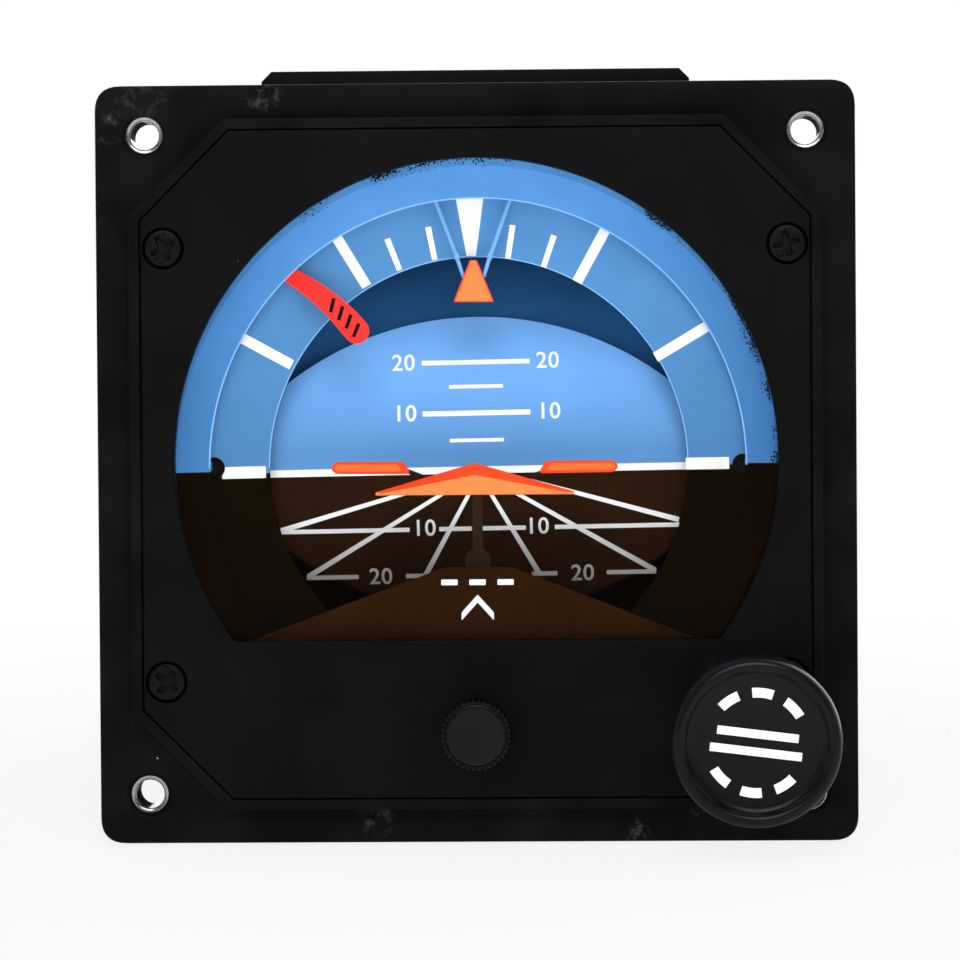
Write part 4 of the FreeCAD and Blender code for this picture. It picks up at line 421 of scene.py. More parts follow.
def two_tone_and_painted_shade(tree, place, tone, deep, low, high):
    """Let a paint turn to a darker colour downwards between two heights in millimetres: a wide blend is painted
    shade, a sharp one is a second paint.
    """
    height = add(tree, "ShaderNodeSeparateXYZ", {"Vector": place}, "Z")
    above = add(tree, "ShaderNodeMapRange", {
        "Value": height, "From Min": low * MM, "From Max": high * MM,
    }, "Result")
    return add(tree, "ShaderNodeMix", {"Factor": above, 6: colour(deep), 7: tone}, 2, data_type="RGBA")


def coat(tree, surface, tone, relief, depth, strength=0.5):
    """Give a shader its colour and a fine relief, with its depth in millimetres."""
    ridge = add(tree, "ShaderNodeBump", {
        "Height": relief, "Distance": depth * MM, "Strength": strength,
    }, "Normal")
    tree.links.new(tone, surface.inputs["Base Color"])
    tree.links.new(ridge, surface.inputs["Normal"])


def black_enamel(name, base, scuffs, rough=0.42, shade="#141415"):
    """Sprayed satin enamel on a cast part: a fine orange peel softens its gleam, grey scuffs and
    tiny dust specks lie on it. A scuff is (spot, size, strength)."""
    material, tree, surface, place = new_finish(name, Specular_IOR_Level=0.05)
    cloud = add(tree, "ShaderNodeTexNoise", {
        "Vector": place, "Scale": per_mm(9.0), "Detail": 5.0, "Roughness": 0.55,
    }, "Fac")
    gleam = add(tree, "ShaderNodeMapRange", {
        "Value": cloud, "From Min": 0.3, "From Max": 0.75, "To Min": rough, "To Max": rough + 0.12,
    }, "Result")
    tree.links.new(gleam, surface.inputs["Roughness"])
    tone = drift(tree, cloud, base, shade, 0.35)

    worn = 0.0
    for spot, size, strength in scuffs:
        near = by_distance(tree, place, spot, size, size * 0.2, 0.0, strength)
        worn = add(tree, "ShaderNodeMath", {0: worn, 1: near}, 0, operation="MAXIMUM")
    smear = add(tree, "ShaderNodeTexNoise", {
        "Vector": place, "Scale": per_mm(1.6), "Detail": 8.0, "Roughness": 0.72,
    }, "Fac")
    patchy = add(tree, "ShaderNodeMapRange", {"Value": smear, "From Min": 0.5, "From Max": 0.68}, "Result")
    scuffed = add(tree, "ShaderNodeMath", {0: worn, 1: patchy}, 0, operation="MULTIPLY")
    tone = add(tree, "ShaderNodeMix", {"Factor": scuffed, 6: tone, 7: colour("#6d6c6c")}, 2, data_type="RGBA")

    dust = add(tree, "ShaderNodeTexVoronoi", {"Vector": place, "Scale": per_mm(3.4)}, feature="F1")
    chance = add(tree, "ShaderNodeSeparateColor", {"Color": dust.outputs["Color"]})
    few = add(tree, "ShaderNodeMapRange", {
        "Value": chance.outputs["Red"], "From Min": 0.80, "From Max": 0.81,
    }, "Result")
    speck_size = add(tree, "ShaderNodeMapRange", {
        "Value": chance.outputs["Green"], "To Min": 0.010, "To Max": 0.032,
    }, "Result")
    inside = add(tree, "ShaderNodeMath", {0: dust.outputs["Distance"], 1: speck_size}, 0, operation="LESS_THAN")
    speck = add(tree, "ShaderNodeMath", {0: inside, 1: few}, 0, operation="MULTIPLY")
    tone = add(tree, "ShaderNodeMix", {"Factor": speck, 6: tone, 7: colour("#8c8b89")}, 2, data_type="RGBA")
    peel = add(tree, "ShaderNodeTexNoise", {
        "Vector": place, "Scale": per_mm(0.35), "Detail": 2.0, "Roughness": 0.55,
    }, "Fac")
    coat(tree, surface, tone, peel, 0.012)
    return material


def flat_paint(name, base, shade, rough=0.6, size=7.0, glow=0.0, deep=None):
    """Matt brushed or sprayed dial paint: even colour with a slow drift and a faint tooth. A glow above 0 is a
    painted glow: the paint sends out a little light of its own colour."""
    material, tree, surface, place = new_finish(
        name, Specular_IOR_Level=0.01, Roughness=rough, Emission_Color=colour(base), Emission_Strength=glow,
    )
    cloud = add(tree, "ShaderNodeTexNoise", {
        "Vector": place, "Scale": per_mm(size), "Detail": 3.0, "Roughness": 0.55,
    }, "Fac")
    tone = drift(tree, cloud, base, shade)
    # deep darkens the paint downwards: painted shade on the sky paints, an umber second paint below the horizon on
    # the backdrop.
    if deep:
        tone = two_tone_and_painted_shade(tree, place, tone, *deep)
    tooth = add(tree, "ShaderNodeTexNoise", {
        "Vector": place, "Scale": per_mm(0.16), "Detail": 2.0, "Roughness": 0.55,
    }, "Fac")
    coat(tree, surface, tone, tooth, 0.006)
    return material


def mask_paint(name, base, shade, dirt_and_shade, deep):
    """Dial paint on the fixed mask, darker downwards as painted shade, with crumbs of black sealant left along the
    window's edge.
    """
    material, tree, surface, place = new_finish(name, Specular_IOR_Level=0.01, Roughness=0.6)
    cloud = add(tree, "ShaderNodeTexNoise", {
        "Vector": place, "Scale": per_mm(8.0), "Detail": 2.0, "Roughness": 0.55,
    }, "Fac")
    # Painted shade: the paint turns to deep from a height of 30 mm down to 4 mm, lighter at the top.
    tone = two_tone_and_painted_shade(tree, place, drift(tree, cloud, base, shade), deep, 4.0, 30.0)

    flat = add(tree, "ShaderNodeVectorMath", {0: place, 1: (1, 0, 1)}, "Vector", operation="MULTIPLY")
    near_edge = by_distance(tree, flat, (0, 0, WINDOW_RISE), 33.6, 35.2, 0.0, 0.42)
    patches = add(tree, "ShaderNodeTexNoise", {
        "Vector": place, "Scale": per_mm(5.0), "Detail": 2.0, "Roughness": 0.55,
    }, "Fac")
    left_over = add(tree, "ShaderNodeMapRange", {
        "Value": patches, "From Min": 0.36, "From Max": 0.6, "To Min": dirt_and_shade,
    }, "Result")
    density = add(tree, "ShaderNodeMath", {0: near_edge, 1: left_over}, 0, operation="MULTIPLY")
    fine = add(tree, "ShaderNodeTexNoise", {
        "Vector": place, "Scale": per_mm(0.24), "Detail": 2.0, "Roughness": 0.6,
    }, "Fac")
    score = add(tree, "ShaderNodeMath", {0: fine, 1: density}, 0, operation="ADD")
    upper_left = by_distance(tree, place, (-9, 4, 34), 13, 17, 1.0, 0.0)
    right = by_distance(tree, place, (31, 4, 16), 17, 20, 1.0, 0.0)
    where = add(tree, "ShaderNodeMath", {0: upper_left, 1: right}, 0, operation="MAXIMUM")
    dark = add(tree, "ShaderNodeMath", {0: score, 1: 0.84}, 0, operation="GREATER_THAN")
    crumbs = add(tree, "ShaderNodeMath", {0: dark, 1: where}, 0, operation="MULTIPLY")
    tone = add(tree, "ShaderNodeMix", {"Factor": crumbs, 6: tone, 7: colour("#141416")}, 2, data_type="RGBA")
    tooth = add(tree, "ShaderNodeTexNoise", {
        "Vector": place, "Scale": per_mm(0.16), "Detail": 2.0, "Roughness": 0.55,
    }, "Fac")
    coat(tree, surface, tone, tooth, 0.006)
    return material


def ground_ink():
    """White ink on the ground half: it greys towards the bottom, a painted shade, with faint streaks in the print.
    """
    material, tree, surface, place = new_finish(
        "thin white ink on brown", Roughness=0.6, Specular_IOR_Level=0.02,
    )
    height = add(tree, "ShaderNodeSeparateXYZ", {"Vector": place}, "Z")
    # Painted shade: the ink turns grey from a height of -6 mm down to -15 mm.
    painted_light_level = add(tree, "ShaderNodeMapRange", {
        "Value": height, "From Min": -15.0 * MM, "From Max": -6.0 * MM,
    }, "Result")
    streaks = add(tree, "ShaderNodeTexNoise", {
        "Vector": place, "Scale": per_mm(1.2), "Detail": 4.0, "Roughness": 0.55,
    }, "Fac")
    thin = add(tree, "ShaderNodeMapRange", {
        "Value": streaks, "From Min": 0.3, "From Max": 0.7, "To Min": 0.85,
    }, "Result")
    full = add(tree, "ShaderNodeMath", {0: painted_light_level, 1: thin}, 0, operation="MULTIPLY")
    tone = add(tree, "ShaderNodeMix", {
        "Factor": full, 6: colour("#aca49e"), 7: colour("#fbfaf8"),
    }, 2, data_type="RGBA")
    tree.links.new(tone, surface.inputs["Base Color"])
    return material


def metal(name, base, shade, rough, size, stretch=(1, 1, 1)):
    """Bare or plated metal: machining marks or casting tooth in its roughness and a slow drift of tone."""
    material, tree, surface, place = new_finish(name, Metallic=1.0)
    along = add(tree, "ShaderNodeMapping", {"Vector": place, "Scale": stretch}, "Vector")
    marks = add(tree, "ShaderNodeTexNoise", {
        "Vector": along, "Scale": per_mm(size), "Detail": 4.0, "Roughness": 0.55,
    }, "Fac")
    gleam = add(tree, "ShaderNodeMapRange", {
        "Value": marks, "From Min": 0.3, "From Max": 0.7, "To Min": rough * 0.8, "To Max": rough * 1.25,
    }, "Result")
    tree.links.new(gleam, surface.inputs["Roughness"])
    coat(tree, surface, drift(tree, marks, base, shade), marks, 0.01, 0.4)
    return material


def moulded(name, base, shade, rough, size=0.5, depth=0.01):
    """Moulded plastic or rubber: an even body colour with a fine mould texture."""
    material, tree, surface, place = new_finish(name, IOR=1.49, Specular_IOR_Level=0.25, Roughness=rough)
    cloud, texture = [
        add(tree, "ShaderNodeTexNoise", {
            "Vector": place, "Scale": per_mm(across), "Detail": 3.0, "Roughness": 0.55,
        }, "Fac")
        for across in (5.0, size)
    ]
    coat(tree, surface, drift(tree, cloud, base, shade, 0.35, 0.65), texture, depth)
    return material


def coated_glass():
    """Flat instrument glass with a clear coating: almost unseen from the front, with a faint gleam."""
    material = bpy.data.materials.new("coated instrument glass")
    tree = bare_tree(material)
    clear = add(tree, "ShaderNodeBsdfPrincipled", {
        "Base Color": colour("#fbfdff"), "Roughness": 0.02, "Transmission Weight": 1.0, "IOR": 1.05,
        "Specular IOR Level": 0.25,
    }, "BSDF")
    see_through = add(tree, "ShaderNodeBsdfTransparent", {"Color": colour("#fdfeff")}, "BSDF")
    shadow = add(tree, "ShaderNodeLightPath", out="Is Shadow Ray")
    mixed = add(tree, "ShaderNodeMixShader", {0: shadow, 1: clear, 2: see_through}, "Shader")
    add(tree, "ShaderNodeOutputMaterial", {"Surface": mixed})
    return material


CORNER_SCUFFS = [
    ((-39.0, 0, 43.5), 4.0, 0.28), ((-24.5, 0, 43.2), 3.0, 0.5), ((-43.5, 0, 40.0), 3.0, 0.4),
    ((18.5, 0, -43.2), 1.8, 0.5), ((26.5, 0, -40.6), 2.0, 0.4), ((-12.0, 0, -41.8), 2.5, 0.3),
]
PLATE_SCUFFS = [((28.0, -2.4, -24.0), 2.0, 0.2)]
CASE_SCUFFS = [((0, 60, 40.3), 14, 0.3), ((38, 120, -20), 12, 0.3)]
# Enamelled castings: near black with a soft gleam, and scuffed at the corners.
FLANGE_BLACK = black_enamel("satin black enamel on the flange", "#0a0a0b", CORNER_SCUFFS)
PLATE_BLACK = black_enamel("satin black enamel on the front plate", "#0b0b0c", PLATE_SCUFFS, 0.46, "#101011")
CASE_BLACK = black_enamel("satin black enamel on the case", "#0d0d0e", CASE_SCUFFS, 0.45)
# Dial paints: brushed matt, so that nothing gleams behind the glass.
# SKY darkens from a height of 11 mm down to 1 mm: painted shade near the horizon, for light that falls from above.
SKY = flat_paint("matt sky-blue dial paint", "#76aeea", "#70a8e5", deep=("#5c8ec2", 1.0, 11.0))
GROUND = flat_paint("matt earth-brown dial paint", "#2c190a", "#251508")
# MASK_SKY's last colour is painted shade: the mask darkens downwards from a height of 30 mm to 4 mm.
MASK_SKY = mask_paint("sky-blue paint on the mask", "#5b98d6", "#5592ce", 0.3, "#467cb2")
MASK_GROUND = mask_paint("earth-brown paint on the mask", "#100701", "#0c0501", 0.0, "#100701")
# RING_SKY darkens from a height of 20 mm down to 1 mm: painted shade.
RING_SKY = flat_paint(
    "matt sky-blue paint on the bank ring", "#588fc4", "#5289bc", deep=("#4e7fb0", 1.0, 20.0),
)
RING_GROUND = flat_paint("matt earth-brown paint on the bank ring", "#120901", "#0e0701")
# Above the horizon a blue much darker than the sky paint: partly its own colour, partly painted shade for its
# place deep behind the drum. Near-black brown below it.
BACKDROP_PAINT_AND_SHADE = flat_paint(
    "matt navy and umber backdrop paint", "#3674ae", "#306ba2", 0.65,
    deep=("#140b05", DIAL.z - 0.05, DIAL.z + 0.05),
)
HILL = flat_paint("matt umber paint on the lower mask", "#2a1504", "#241203")
# Painted highlight: a pale blue on the inner lips of the mask and the bank ring, above the axis.
EDGE_HIGHLIGHT = flat_paint("rubbed pale blue edge", "#93c6fa", "#86bbf2", 0.45)
# Inks: the age of the print shows in how white they are.
WHITE = flat_paint("screen-printed white ink", "#fafaf8", "#f2f1ee", 0.55, 3.0)
WORN_WHITE = flat_paint("aged white ink", "#f8f3ea", "#ece5da", 0.6, 2.0)
GROUND_INK = ground_ink()
# Lacquers on the moving marks: day-glow where the pilot has to see them at once.
ORANGE = flat_paint("day-glow orange lacquer", "#ff8549", "#ff7f44", 0.5)
WING_ORANGE = flat_paint("day-glow lacquer on the wing bars", "#ff6a36", "#fc6430", 0.5)
DEEP_ORANGE = flat_paint("day-glow red-orange lacquer", "#ff4a24", "#fb4420", 0.45)
# The red flag's glow=0.3 is a painted glow that makes it brighter than its light does.
RED = flat_paint("day-glow red lacquer", "#ff322c", "#fa2e28", 0.5, glow=0.3)
BLACK_INK = flat_paint("black printed ink", "#161416", "#1c191a", 0.6)
PALE_WIRE = flat_paint("pale blue lacquered wire", "#7fb2ea", "#74a8e2", 0.45)
STEM_BROWN = flat_paint("brown lacquered stem", "#2f2016", "#281b12", 0.4)
DIAL_SCREW = flat_paint("brown-black lacquered screw", "#17120d", "#120e0a", 0.6)
# Knobs, screws and inner parts: moulded ones are even, metal ones gleam along their machining.
KNOB_BLACK = moulded("moulded black phenolic", "#0a0a0b", "#0e0e0f", 0.3)
KNURL_BLACK = moulded("knurled black anodised aluminium", "#0a0a0b", "#101011", 0.45, 0.3)
SCREW_BLACK = metal("blackened steel screw", "#1d1d1f", "#2b2b2d", 0.4, 0.4)
# Near-black painted shade on the floors of screw recesses and on the bank ring under its screw heads.
RECESS_SHADE = moulded("oily dirt in a screw recess", "#050505", "#070707", 0.7)
BRIGHT = metal("bright cadmium-plated steel", "#d9d8d2", "#bdbcb6", 0.22, 0.6)
STEEL = metal("ground stainless steel", "#b9babd", "#9fa0a4", 0.3, 0.25, (1, 0.2, 1))
ALUMINIUM = metal("machined aluminium casting", "#c4c6c8", "#abadb0", 0.38, 0.5)
BRASS = metal("turned brass", "#c9a055", "#b48b45", 0.28, 0.3, (1, 0.25, 1))
COPPER = metal("enamelled copper winding", "#b2663a", "#8c4a26", 0.35, 0.2, (1, 1, 6))
GOLD = metal("gold-plated contact", "#e0b65a", "#d0a548", 0.2, 0.3)
OLIVE = metal("olive cadmium-plated shell", "#77765a", "#66654c", 0.38, 0.6)
RUBBER = moulded("black nitrile rubber", "#0b0b0b", "#121212", 0.75, 0.3, 0.02)
INSULATOR = moulded("black glass-filled insulator", "#151515", "#1d1d1d", 0.5)
BOARD = moulded("green glass-fibre board", "#1d4d2c", "#174425", 0.45, 0.4)
GLASS = coated_glass()

# CAD parts that are shown as they are.
PLAIN_FINISHES = {
    RUBBER: ["glass_gasket", "rear_seal"],
    BRASS: ["adjust_bush", "erect_bush", "gyro_rotor", "pendulous_weight", "slip_rings"],
    STEEL: [
        "adjust_shaft", "erect_rod", "erect_spring", "caging_arm", "flag_post", "roll_shaft", "caging_cam",
        "roll_bearings", "pitch_bearings", "pitch_shafts", "spin_bearings", "rotor_shaft",
    ],
    ALUMINIUM: [
        "roll_gimbal", "gimbal_front_ring", "gyro_housing", "gyro_cover", "bearing_bulkhead", "drum_brackets",
        "slider_cover",
    ],
    COPPER: ["flag_coil", "motor_stator"],
    GOLD: ["connector_pins"],
    INSULATOR: ["connector_insert", "brush_block"],
    BOARD: ["circuit_board"],
    GLASS: ["window_glass"],
    BACKDROP_PAINT_AND_SHADE: ["sky_backdrop"],
    DIAL_SCREW: ["bank_ring_screws"],
    SCREW_BLACK: ["gimbal_screws", "gyro_cover_screws", "small_screws", "case_screws"],
}
for finish, names in PLAIN_FINISHES.items():
    for node in names:
        paint_with(nodes[node], finish)


# ---------------------------------------------------------------- flange, rim and front plate

HALF_FLANGE = bezel_high.x
HOLES = [(-38.65, 38.65), (38.65, 38.65), (-38.65, -38.65), (38.65, -38.65)]
KNOB_HOLES = [circle(2.62, 48, 0, -31.0), circle(2.82, 48, 31.7, -31.4)]
SCREW_SPOTS = [(-36.3, 25.3), (36.3, 25.3), (-36.3, -25.3), (36.3, -25.3)]
SCREW_SPINS = (28, 14, 52, 33)
RIM = 80.6
RIM_LEG = 11.2
RIM_WALL = 1.2
# A cut corner's leg shrinks by this share of the distance that the outline is moved in.
LEG_SHARE = 0.5858


def window_outline(radius, chord):
    """Round window with a straight lower edge, as (x, z) points."""
    low = math.asin((-chord - WINDOW_RISE) / radius)
    return arc(radius, low, math.pi - low, 220, 0.0, WINDOW_RISE)


def flange_and_rim():
    outline = eased(rectangle(-HALF_FLANGE, HALF_FLANGE, -HALF_FLANGE, HALF_FLANGE), 3.0, 8)
    opening = window_outline(36.7, 23.2)
    layers = []
    for name, hole, front, back, edge in (
        ("flange_plate", 2.17, 0.35, 5.5, 0.3), ("flange_face", 2.45, 0.0, 0.9, 0.34),
    ):
        holes = [circle(hole, 64, x, z) for x, z in HOLES]
        layers.append(flat_piece(name, [outline, opening] + holes + KNOB_HOLES, front, back, edge, 3))
    inner = cut_octagon(RIM - 2 * RIM_WALL, RIM_LEG - LEG_SHARE * RIM_WALL)
    layers.append(flat_piece("rim", [cut_octagon(RIM, RIM_LEG), inner], plate_low.y, 0.2, 0.16, 3))
    seat = [cut_octagon(RIM - 1.0, RIM_LEG - 0.3), opening] + KNOB_HOLES
    layers.append(flat_piece("plate_seat", seat, -0.38, 0.1, 0.02, 0))
    whole = paint_with(joined("flange_body", layers), FLANGE_BLACK)
    finish_piece(whole, "case", ["flange_bezel"])


def front_plate():
    gap = RIM_WALL + 0.15
    outline = cut_octagon(RIM - 2 * gap, RIM_LEG - LEG_SHARE * gap)
    seats = [circle(2.42, 64, x, z) for x, z in SCREW_SPOTS]
    outlines = [outline, window_outline(35.2, 20.6)] + seats + KNOB_HOLES
    plate = flat_piece("plate_metal", outlines, plate_low.y, plate_high.y, 0.2, 3)
    finish_piece(paint_with(plate, PLATE_BLACK), "case", ["front_plate"])


def cross_recess_screw(name, head, depth, reach_out, slot):
    """Head of a cross-recess screw along +Z with its top at the origin, a recess floor and a shank."""
    cross = []
    shoulder, tip = reach_out * 0.55, slot * 0.72
    for turn in range(4):
        c, s = math.cos(turn * math.pi / 2), math.sin(turn * math.pi / 2)
        for x, y in ((slot, slot), (slot, shoulder), (tip, reach_out), (-tip, reach_out), (-slot, shoulder)):
            cross.append((x * c - y * s, x * s + y * c))
    top = flat_piece(name + "_head", [circle(head, 64), eased(cross, 0.08, 2)], 0.0, depth, 0.1, 2)
    floor = turned(name + "_floor", [
        (0, depth * 0.62), (head * 0.55, depth * 0.75), (head * 0.9, depth * 0.8), (head * 0.62, depth * 1.6),
        (head * 0.6, depth * 4.5), (0, depth * 4.5),
    ], count=48)
    screw = joined(name, [top, floor])
    screw.data.transform(PILOT_VIEW.inverted())
    return screw


def fasteners():
    y = plate_low.y + 0.08
    recess = (y + 0.15) * MM
    screw = cross_recess_screw("plate_screw", 2.1, 0.85, 1.5, 0.36)
    spots = [((x, y, z), spin) for (x, z), spin in zip(SCREW_SPOTS, SCREW_SPINS)]
    heads = copies("front_plate_screw_heads", screw, spots, SCREW_BLACK)
    paint_with(heads, SCREW_BLACK, RECESS_SHADE)
    # Faces deeper than the heads' tops, the recess floors and shanks, get painted shade.
    for face in heads.data.polygons:
        face.material_index = int(face.center.y > recess)
    finish_piece(smooth(heads), "case", ["front_plate_screws"])


def inserts():
    """Threaded inserts: bright bore with a fine thread and a dark, slightly sunken lip."""
    front, back, bore, thread, steps = 0.35, 5.5, 1.75, 0.09, 26
    rows = [
        (bore - thread * (i % 2), front + 0.12 + (back - 0.55) * i / (steps - 1)) for i in range(steps)
    ]
    profile = [(2.15, front), (2.15, back), (1.85, back)] + rows[::-1] + [(1.9, front)]
    whole = joined("threaded_inserts", [turned("insert", profile, (x, 0, z), 72) for x, z in HOLES])
    paint_with(smooth(whole, 50), BRIGHT)
    finish_piece(whole, "case", ["mounting_inserts"])


# ---------------------------------------------------------------- mask and lower mask


def upper_edge(inner, outer):
    """Test for faces between two radii round the dial's axis, above it."""
    def is_on_it(face):
        centre = face.calc_center_median() / MM
        return inner < math.hypot(centre.x, centre.z - DIAL.z) < outer and centre.z > DIAL.z

    return is_on_it


def whole_shape(shape):
    return shape.verts[:] + shape.edges[:] + shape.faces[:]


def split_by_height(piece, level, tilt, paints, third=None):
    """Two paints on one part, divided by a sloping line. third(face) tells which faces get the third."""
    paint_with(piece, *paints)
    normal = Vector((-math.sin(tilt), 0, math.cos(tilt)))
    origin = Vector((0, 0, level * MM))
    with opened(piece) as shape:
        bmesh.ops.bisect_plane(shape, geom=whole_shape(shape), plane_co=origin, plane_no=normal, dist=1e-7)
        for face in shape.faces:
            face.material_index = int((face.calc_center_median() - origin).dot(normal) <= 0)
            if third and third(face):
                face.material_index = 2
    return piece


def clipped_below(piece, level):
    """Cut a part off flat at a height and close the cut."""
    with opened(piece) as shape:
        cut = bmesh.ops.bisect_plane(
            shape, geom=whole_shape(shape), plane_co=(0, 0, level * MM), plane_no=(0, 0, 1), dist=1e-7,
            clear_inner=True,
        )
        edges = [item for item in cut["geom_cut"] if isinstance(item, bmesh.types.BMEdge)]
        bmesh.ops.edgenet_fill(shape, edges=edges)
        bmesh.ops.recalc_face_normals(shape, faces=shape.faces)
    return piece


def mask_ring():
    front, back = mask_low.y, mask_high.y
    lip = front + 1.2
    profile = [
        (35.5, front), (37.1, front), (37.1, lip), (36.0, lip), (32.75, back - 0.4), (33.4, back - 0.4),
        (33.4, back), (32.0, back), (31.8, back - 0.15), (31.8, back - 0.35), (31.95, back - 0.5), (35.5, lip),
    ]
    ring = clipped_below(turned("mask_metal", profile, DIAL, 256), mask_low.z)
    # The inner lip above the axis gets the third paint, a painted highlight in pale blue.
    paints = (MASK_SKY, MASK_GROUND, EDGE_HIGHLIGHT)
    split_by_height(ring, DIAL.z - 0.1, math.radians(0.58), paints, upper_edge(31.75, 31.98))
    finish_piece(smooth(ring, 25), "case", ["mask_ring"])


def lower_mask():
    """Hill-shaped mask, with three bars and a chevron where the object has lettering."""
    low, high = reach("lower_mask")
    outline = [
        (-26.2, low.z), (26.2, low.z), (26.2, -21.0), (25.0, -20.5), (4.5, -12.45), (3.7, -12.25),
        (-3.7, -12.25), (-4.5, -12.5), (-25.6, -20.3), (-26.6, -20.8),
    ]
    hill = paint_with(flat_piece("hill", [outline], low.y, high.y, 0.12, 2), HILL)
    bars = [rectangle(x - 0.95, x + 0.95, -14.35, -13.7) for x in (-3.3, 0.0, 3.3)]
    chevron = [(-1.9, -17.6), (0.0, -15.5), (1.9, -17.6), (1.9, -18.5), (0.0, -16.4), (-1.9, -18.5)]
    marks = joined("hill_print", [printed("hill_mark", mark, low.y, 0.005) for mark in bars + [chevron]])
    whole = joined("lower_mask_painted", [hill, paint_with(marks, WHITE)])
    finish_piece(whole, "case", ["lower_mask"])


# ---------------------------------------------------------------- bank ring, drum and flag

RING_BORE = 25.2
RING_RADIUS = 33.2
RING_DISH = 2.8
DRUM_RADIUS = 37.0
FIGURE_HEIGHT = 1.95


def ring_face(radius):
    """Depth of the dished ring's painted face at a radius."""
    return ring_low.y + RING_DISH * (RING_RADIUS - radius) / (RING_RADIUS - RING_BORE)


def on_ring(x, z, lift):
    return Vector((x, ring_face(math.hypot(x, z)) - lift, z + DIAL.z))


def drum_face(z, radius=DRUM_RADIUS):
    """Depth of the drum's round face, or of one inside it, at a height."""
    return drum_low.y + DRUM_RADIUS - math.sqrt(radius * radius - z * z)


def on_drum(x, z, lift):
    """Point on the drum's face, where x and z are as the pilot sees them from straight ahead."""
    return Vector((x, drum_face(z) - lift, z + DIAL.z))


def laid(piece, surface, finish, tilt, shift):
    """Lay a flat drawing, in millimetres, on a surface."""
    c, s = math.cos(tilt), math.sin(tilt)
    for vertex in piece.data.vertices:
        x = vertex.co.x + shift
        z = vertex.co.y
        vertex.co = surface(x * c - z * s, x * s + z * c, vertex.co.z) * MM
    return paint_with(piece, finish)


def painted(name, outlines, surface, finish, shift, tilt=DIAL_TILT, ink=0.03):
    """Thin printed shapes laid on a surface."""
    piece = merge(settled(drawn(name, outlines, extrude=ink)), DRAWING_WELD)
    return laid(piece, surface, finish, tilt, shift)


def figures(text, x, z, finish):
    """Dial figures laid on the drum."""
    words = bpy.data.curves.new("figures", "FONT")
    words.body = text
    words.align_x = "CENTER"
    words.align_y = "CENTER"
    words.size = FIGURE_HEIGHT * 1.42
    words.space_character = 1.06
    words.offset = 0.03
    words.extrude = 0.03
    piece = shown("figures", words)
    piece.matrix_world = Matrix.Translation((x, z, 0))
    return laid(merge(settled(piece), DRAWING_WELD), on_drum, finish, DIAL_TILT, DRUM_SHIFT)


def bank_ring():
    front = ring_low.y
    back = front + 2.2
    deep = front + RING_DISH
    profile = [
        (RING_RADIUS, front + 0.12), (RING_RADIUS, back), (28.6, back), (25.08, deep + 0.6), (25.05, deep + 0.15),
        (25.18, ring_face(25.18)), (33.08, ring_face(33.08)),
    ]
    ring = turned("bank_ring_metal", profile, DIAL, 256)
    # The bore's lip above the axis gets the third paint, a painted highlight in pale blue.
    paints = (RING_SKY, RING_GROUND, EDGE_HIGHLIGHT)
    smooth(split_by_height(ring, DIAL.z - 0.35, DIAL_TILT, paints, upper_edge(25.04, 25.16)), 25)
    marks = []
    for degrees, outer, width in ((10, 29.15, 0.7), (20, 29.15, 0.7), (30, 32.9, 1.28), (60, 32.9, 1.28)):
        for side in (-1, 1):
            out = polar(90 + side * degrees)
            marks.append(strip(out * RING_BORE, out * outer, width * 0.95, width, 6))
    marks.append(strip((0, RING_BORE), (0, 32.6), 1.12, 3.5, 6))
    white = painted("bank_marks", marks, on_ring, WHITE, MARK_SHIFT)
    level = [level_strip(side * RING_BORE, side * 30.3, -0.2, 1.42, 4) for side in (-1, 1)]
    aged = painted("level_marks", level, on_ring, WORN_WHITE, MARK_SHIFT)
    # Dark discs under the ring's screw heads, seen through their crosses: painted shade in the recesses.
    screws_low, screws_high = reach("bank_ring_screws")
    head = (screws_high.z - screws_low.z) / 2
    distance = screws_high.x - head
    seat = ring_face(distance)
    floors = []
    for side in (-1, 1):
        floor = circle(head * 0.95, 32, side * distance, DIAL.z)
        floors.append(flat_piece("screw_floor", [floor], seat - 0.06, seat + 0.05, 0.004, 0))
    dirt_and_shade = paint_with(joined("screw_floors", floors), RECESS_SHADE)
    whole = joined("bank_ring_painted", [ring, white, aged, dirt_and_shade])
    finish_piece(whole, "roll_gimbal", ["bank_ring"])


def drum_sheet():
    """Drum face between two arcs, as a thin closed sheet."""
    half_width = 32.1
    trim, sink = 37.6, 19.5
    wide, tall = 96, 40
    shape = bmesh.new()
    layers = []
    for thickness in (0.0, 0.8):
        rows = []
        for i in range(wide + 1):
            x = -half_width + 2 * half_width * i / wide
            top = max(math.sqrt(trim * trim - x * x) - sink, 0.05)
            heights = [top * math.sin(math.pi / 2 * (2 * j / tall - 1)) for j in range(tall + 1)]
            rows.append([
                shape.verts.new(Vector((x, drum_face(z, DRUM_RADIUS - thickness), z + DIAL.z)) * MM)
                for z in heights
            ])
        layers.append(rows)
    front, back = layers
    for i in range(wide):
        for j in range(tall):
            shape.faces.new([front[i][j], front[i + 1][j], front[i + 1][j + 1], front[i][j + 1]])
            shape.faces.new([back[i][j + 1], back[i + 1][j + 1], back[i + 1][j], back[i][j]])
        for j in (0, tall):
            shape.faces.new([front[i][j], back[i][j], back[i + 1][j], front[i + 1][j]])
    for j in range(tall):
        for i in (0, wide):
            shape.faces.new([front[i][j], front[i][j + 1], back[i][j + 1], back[i][j]])
    drum = made("drum_sheet", shape)
    return smooth(split_by_height(drum, DIAL.z - 0.55, DIAL_TILT, (SKY, GROUND)), 40)


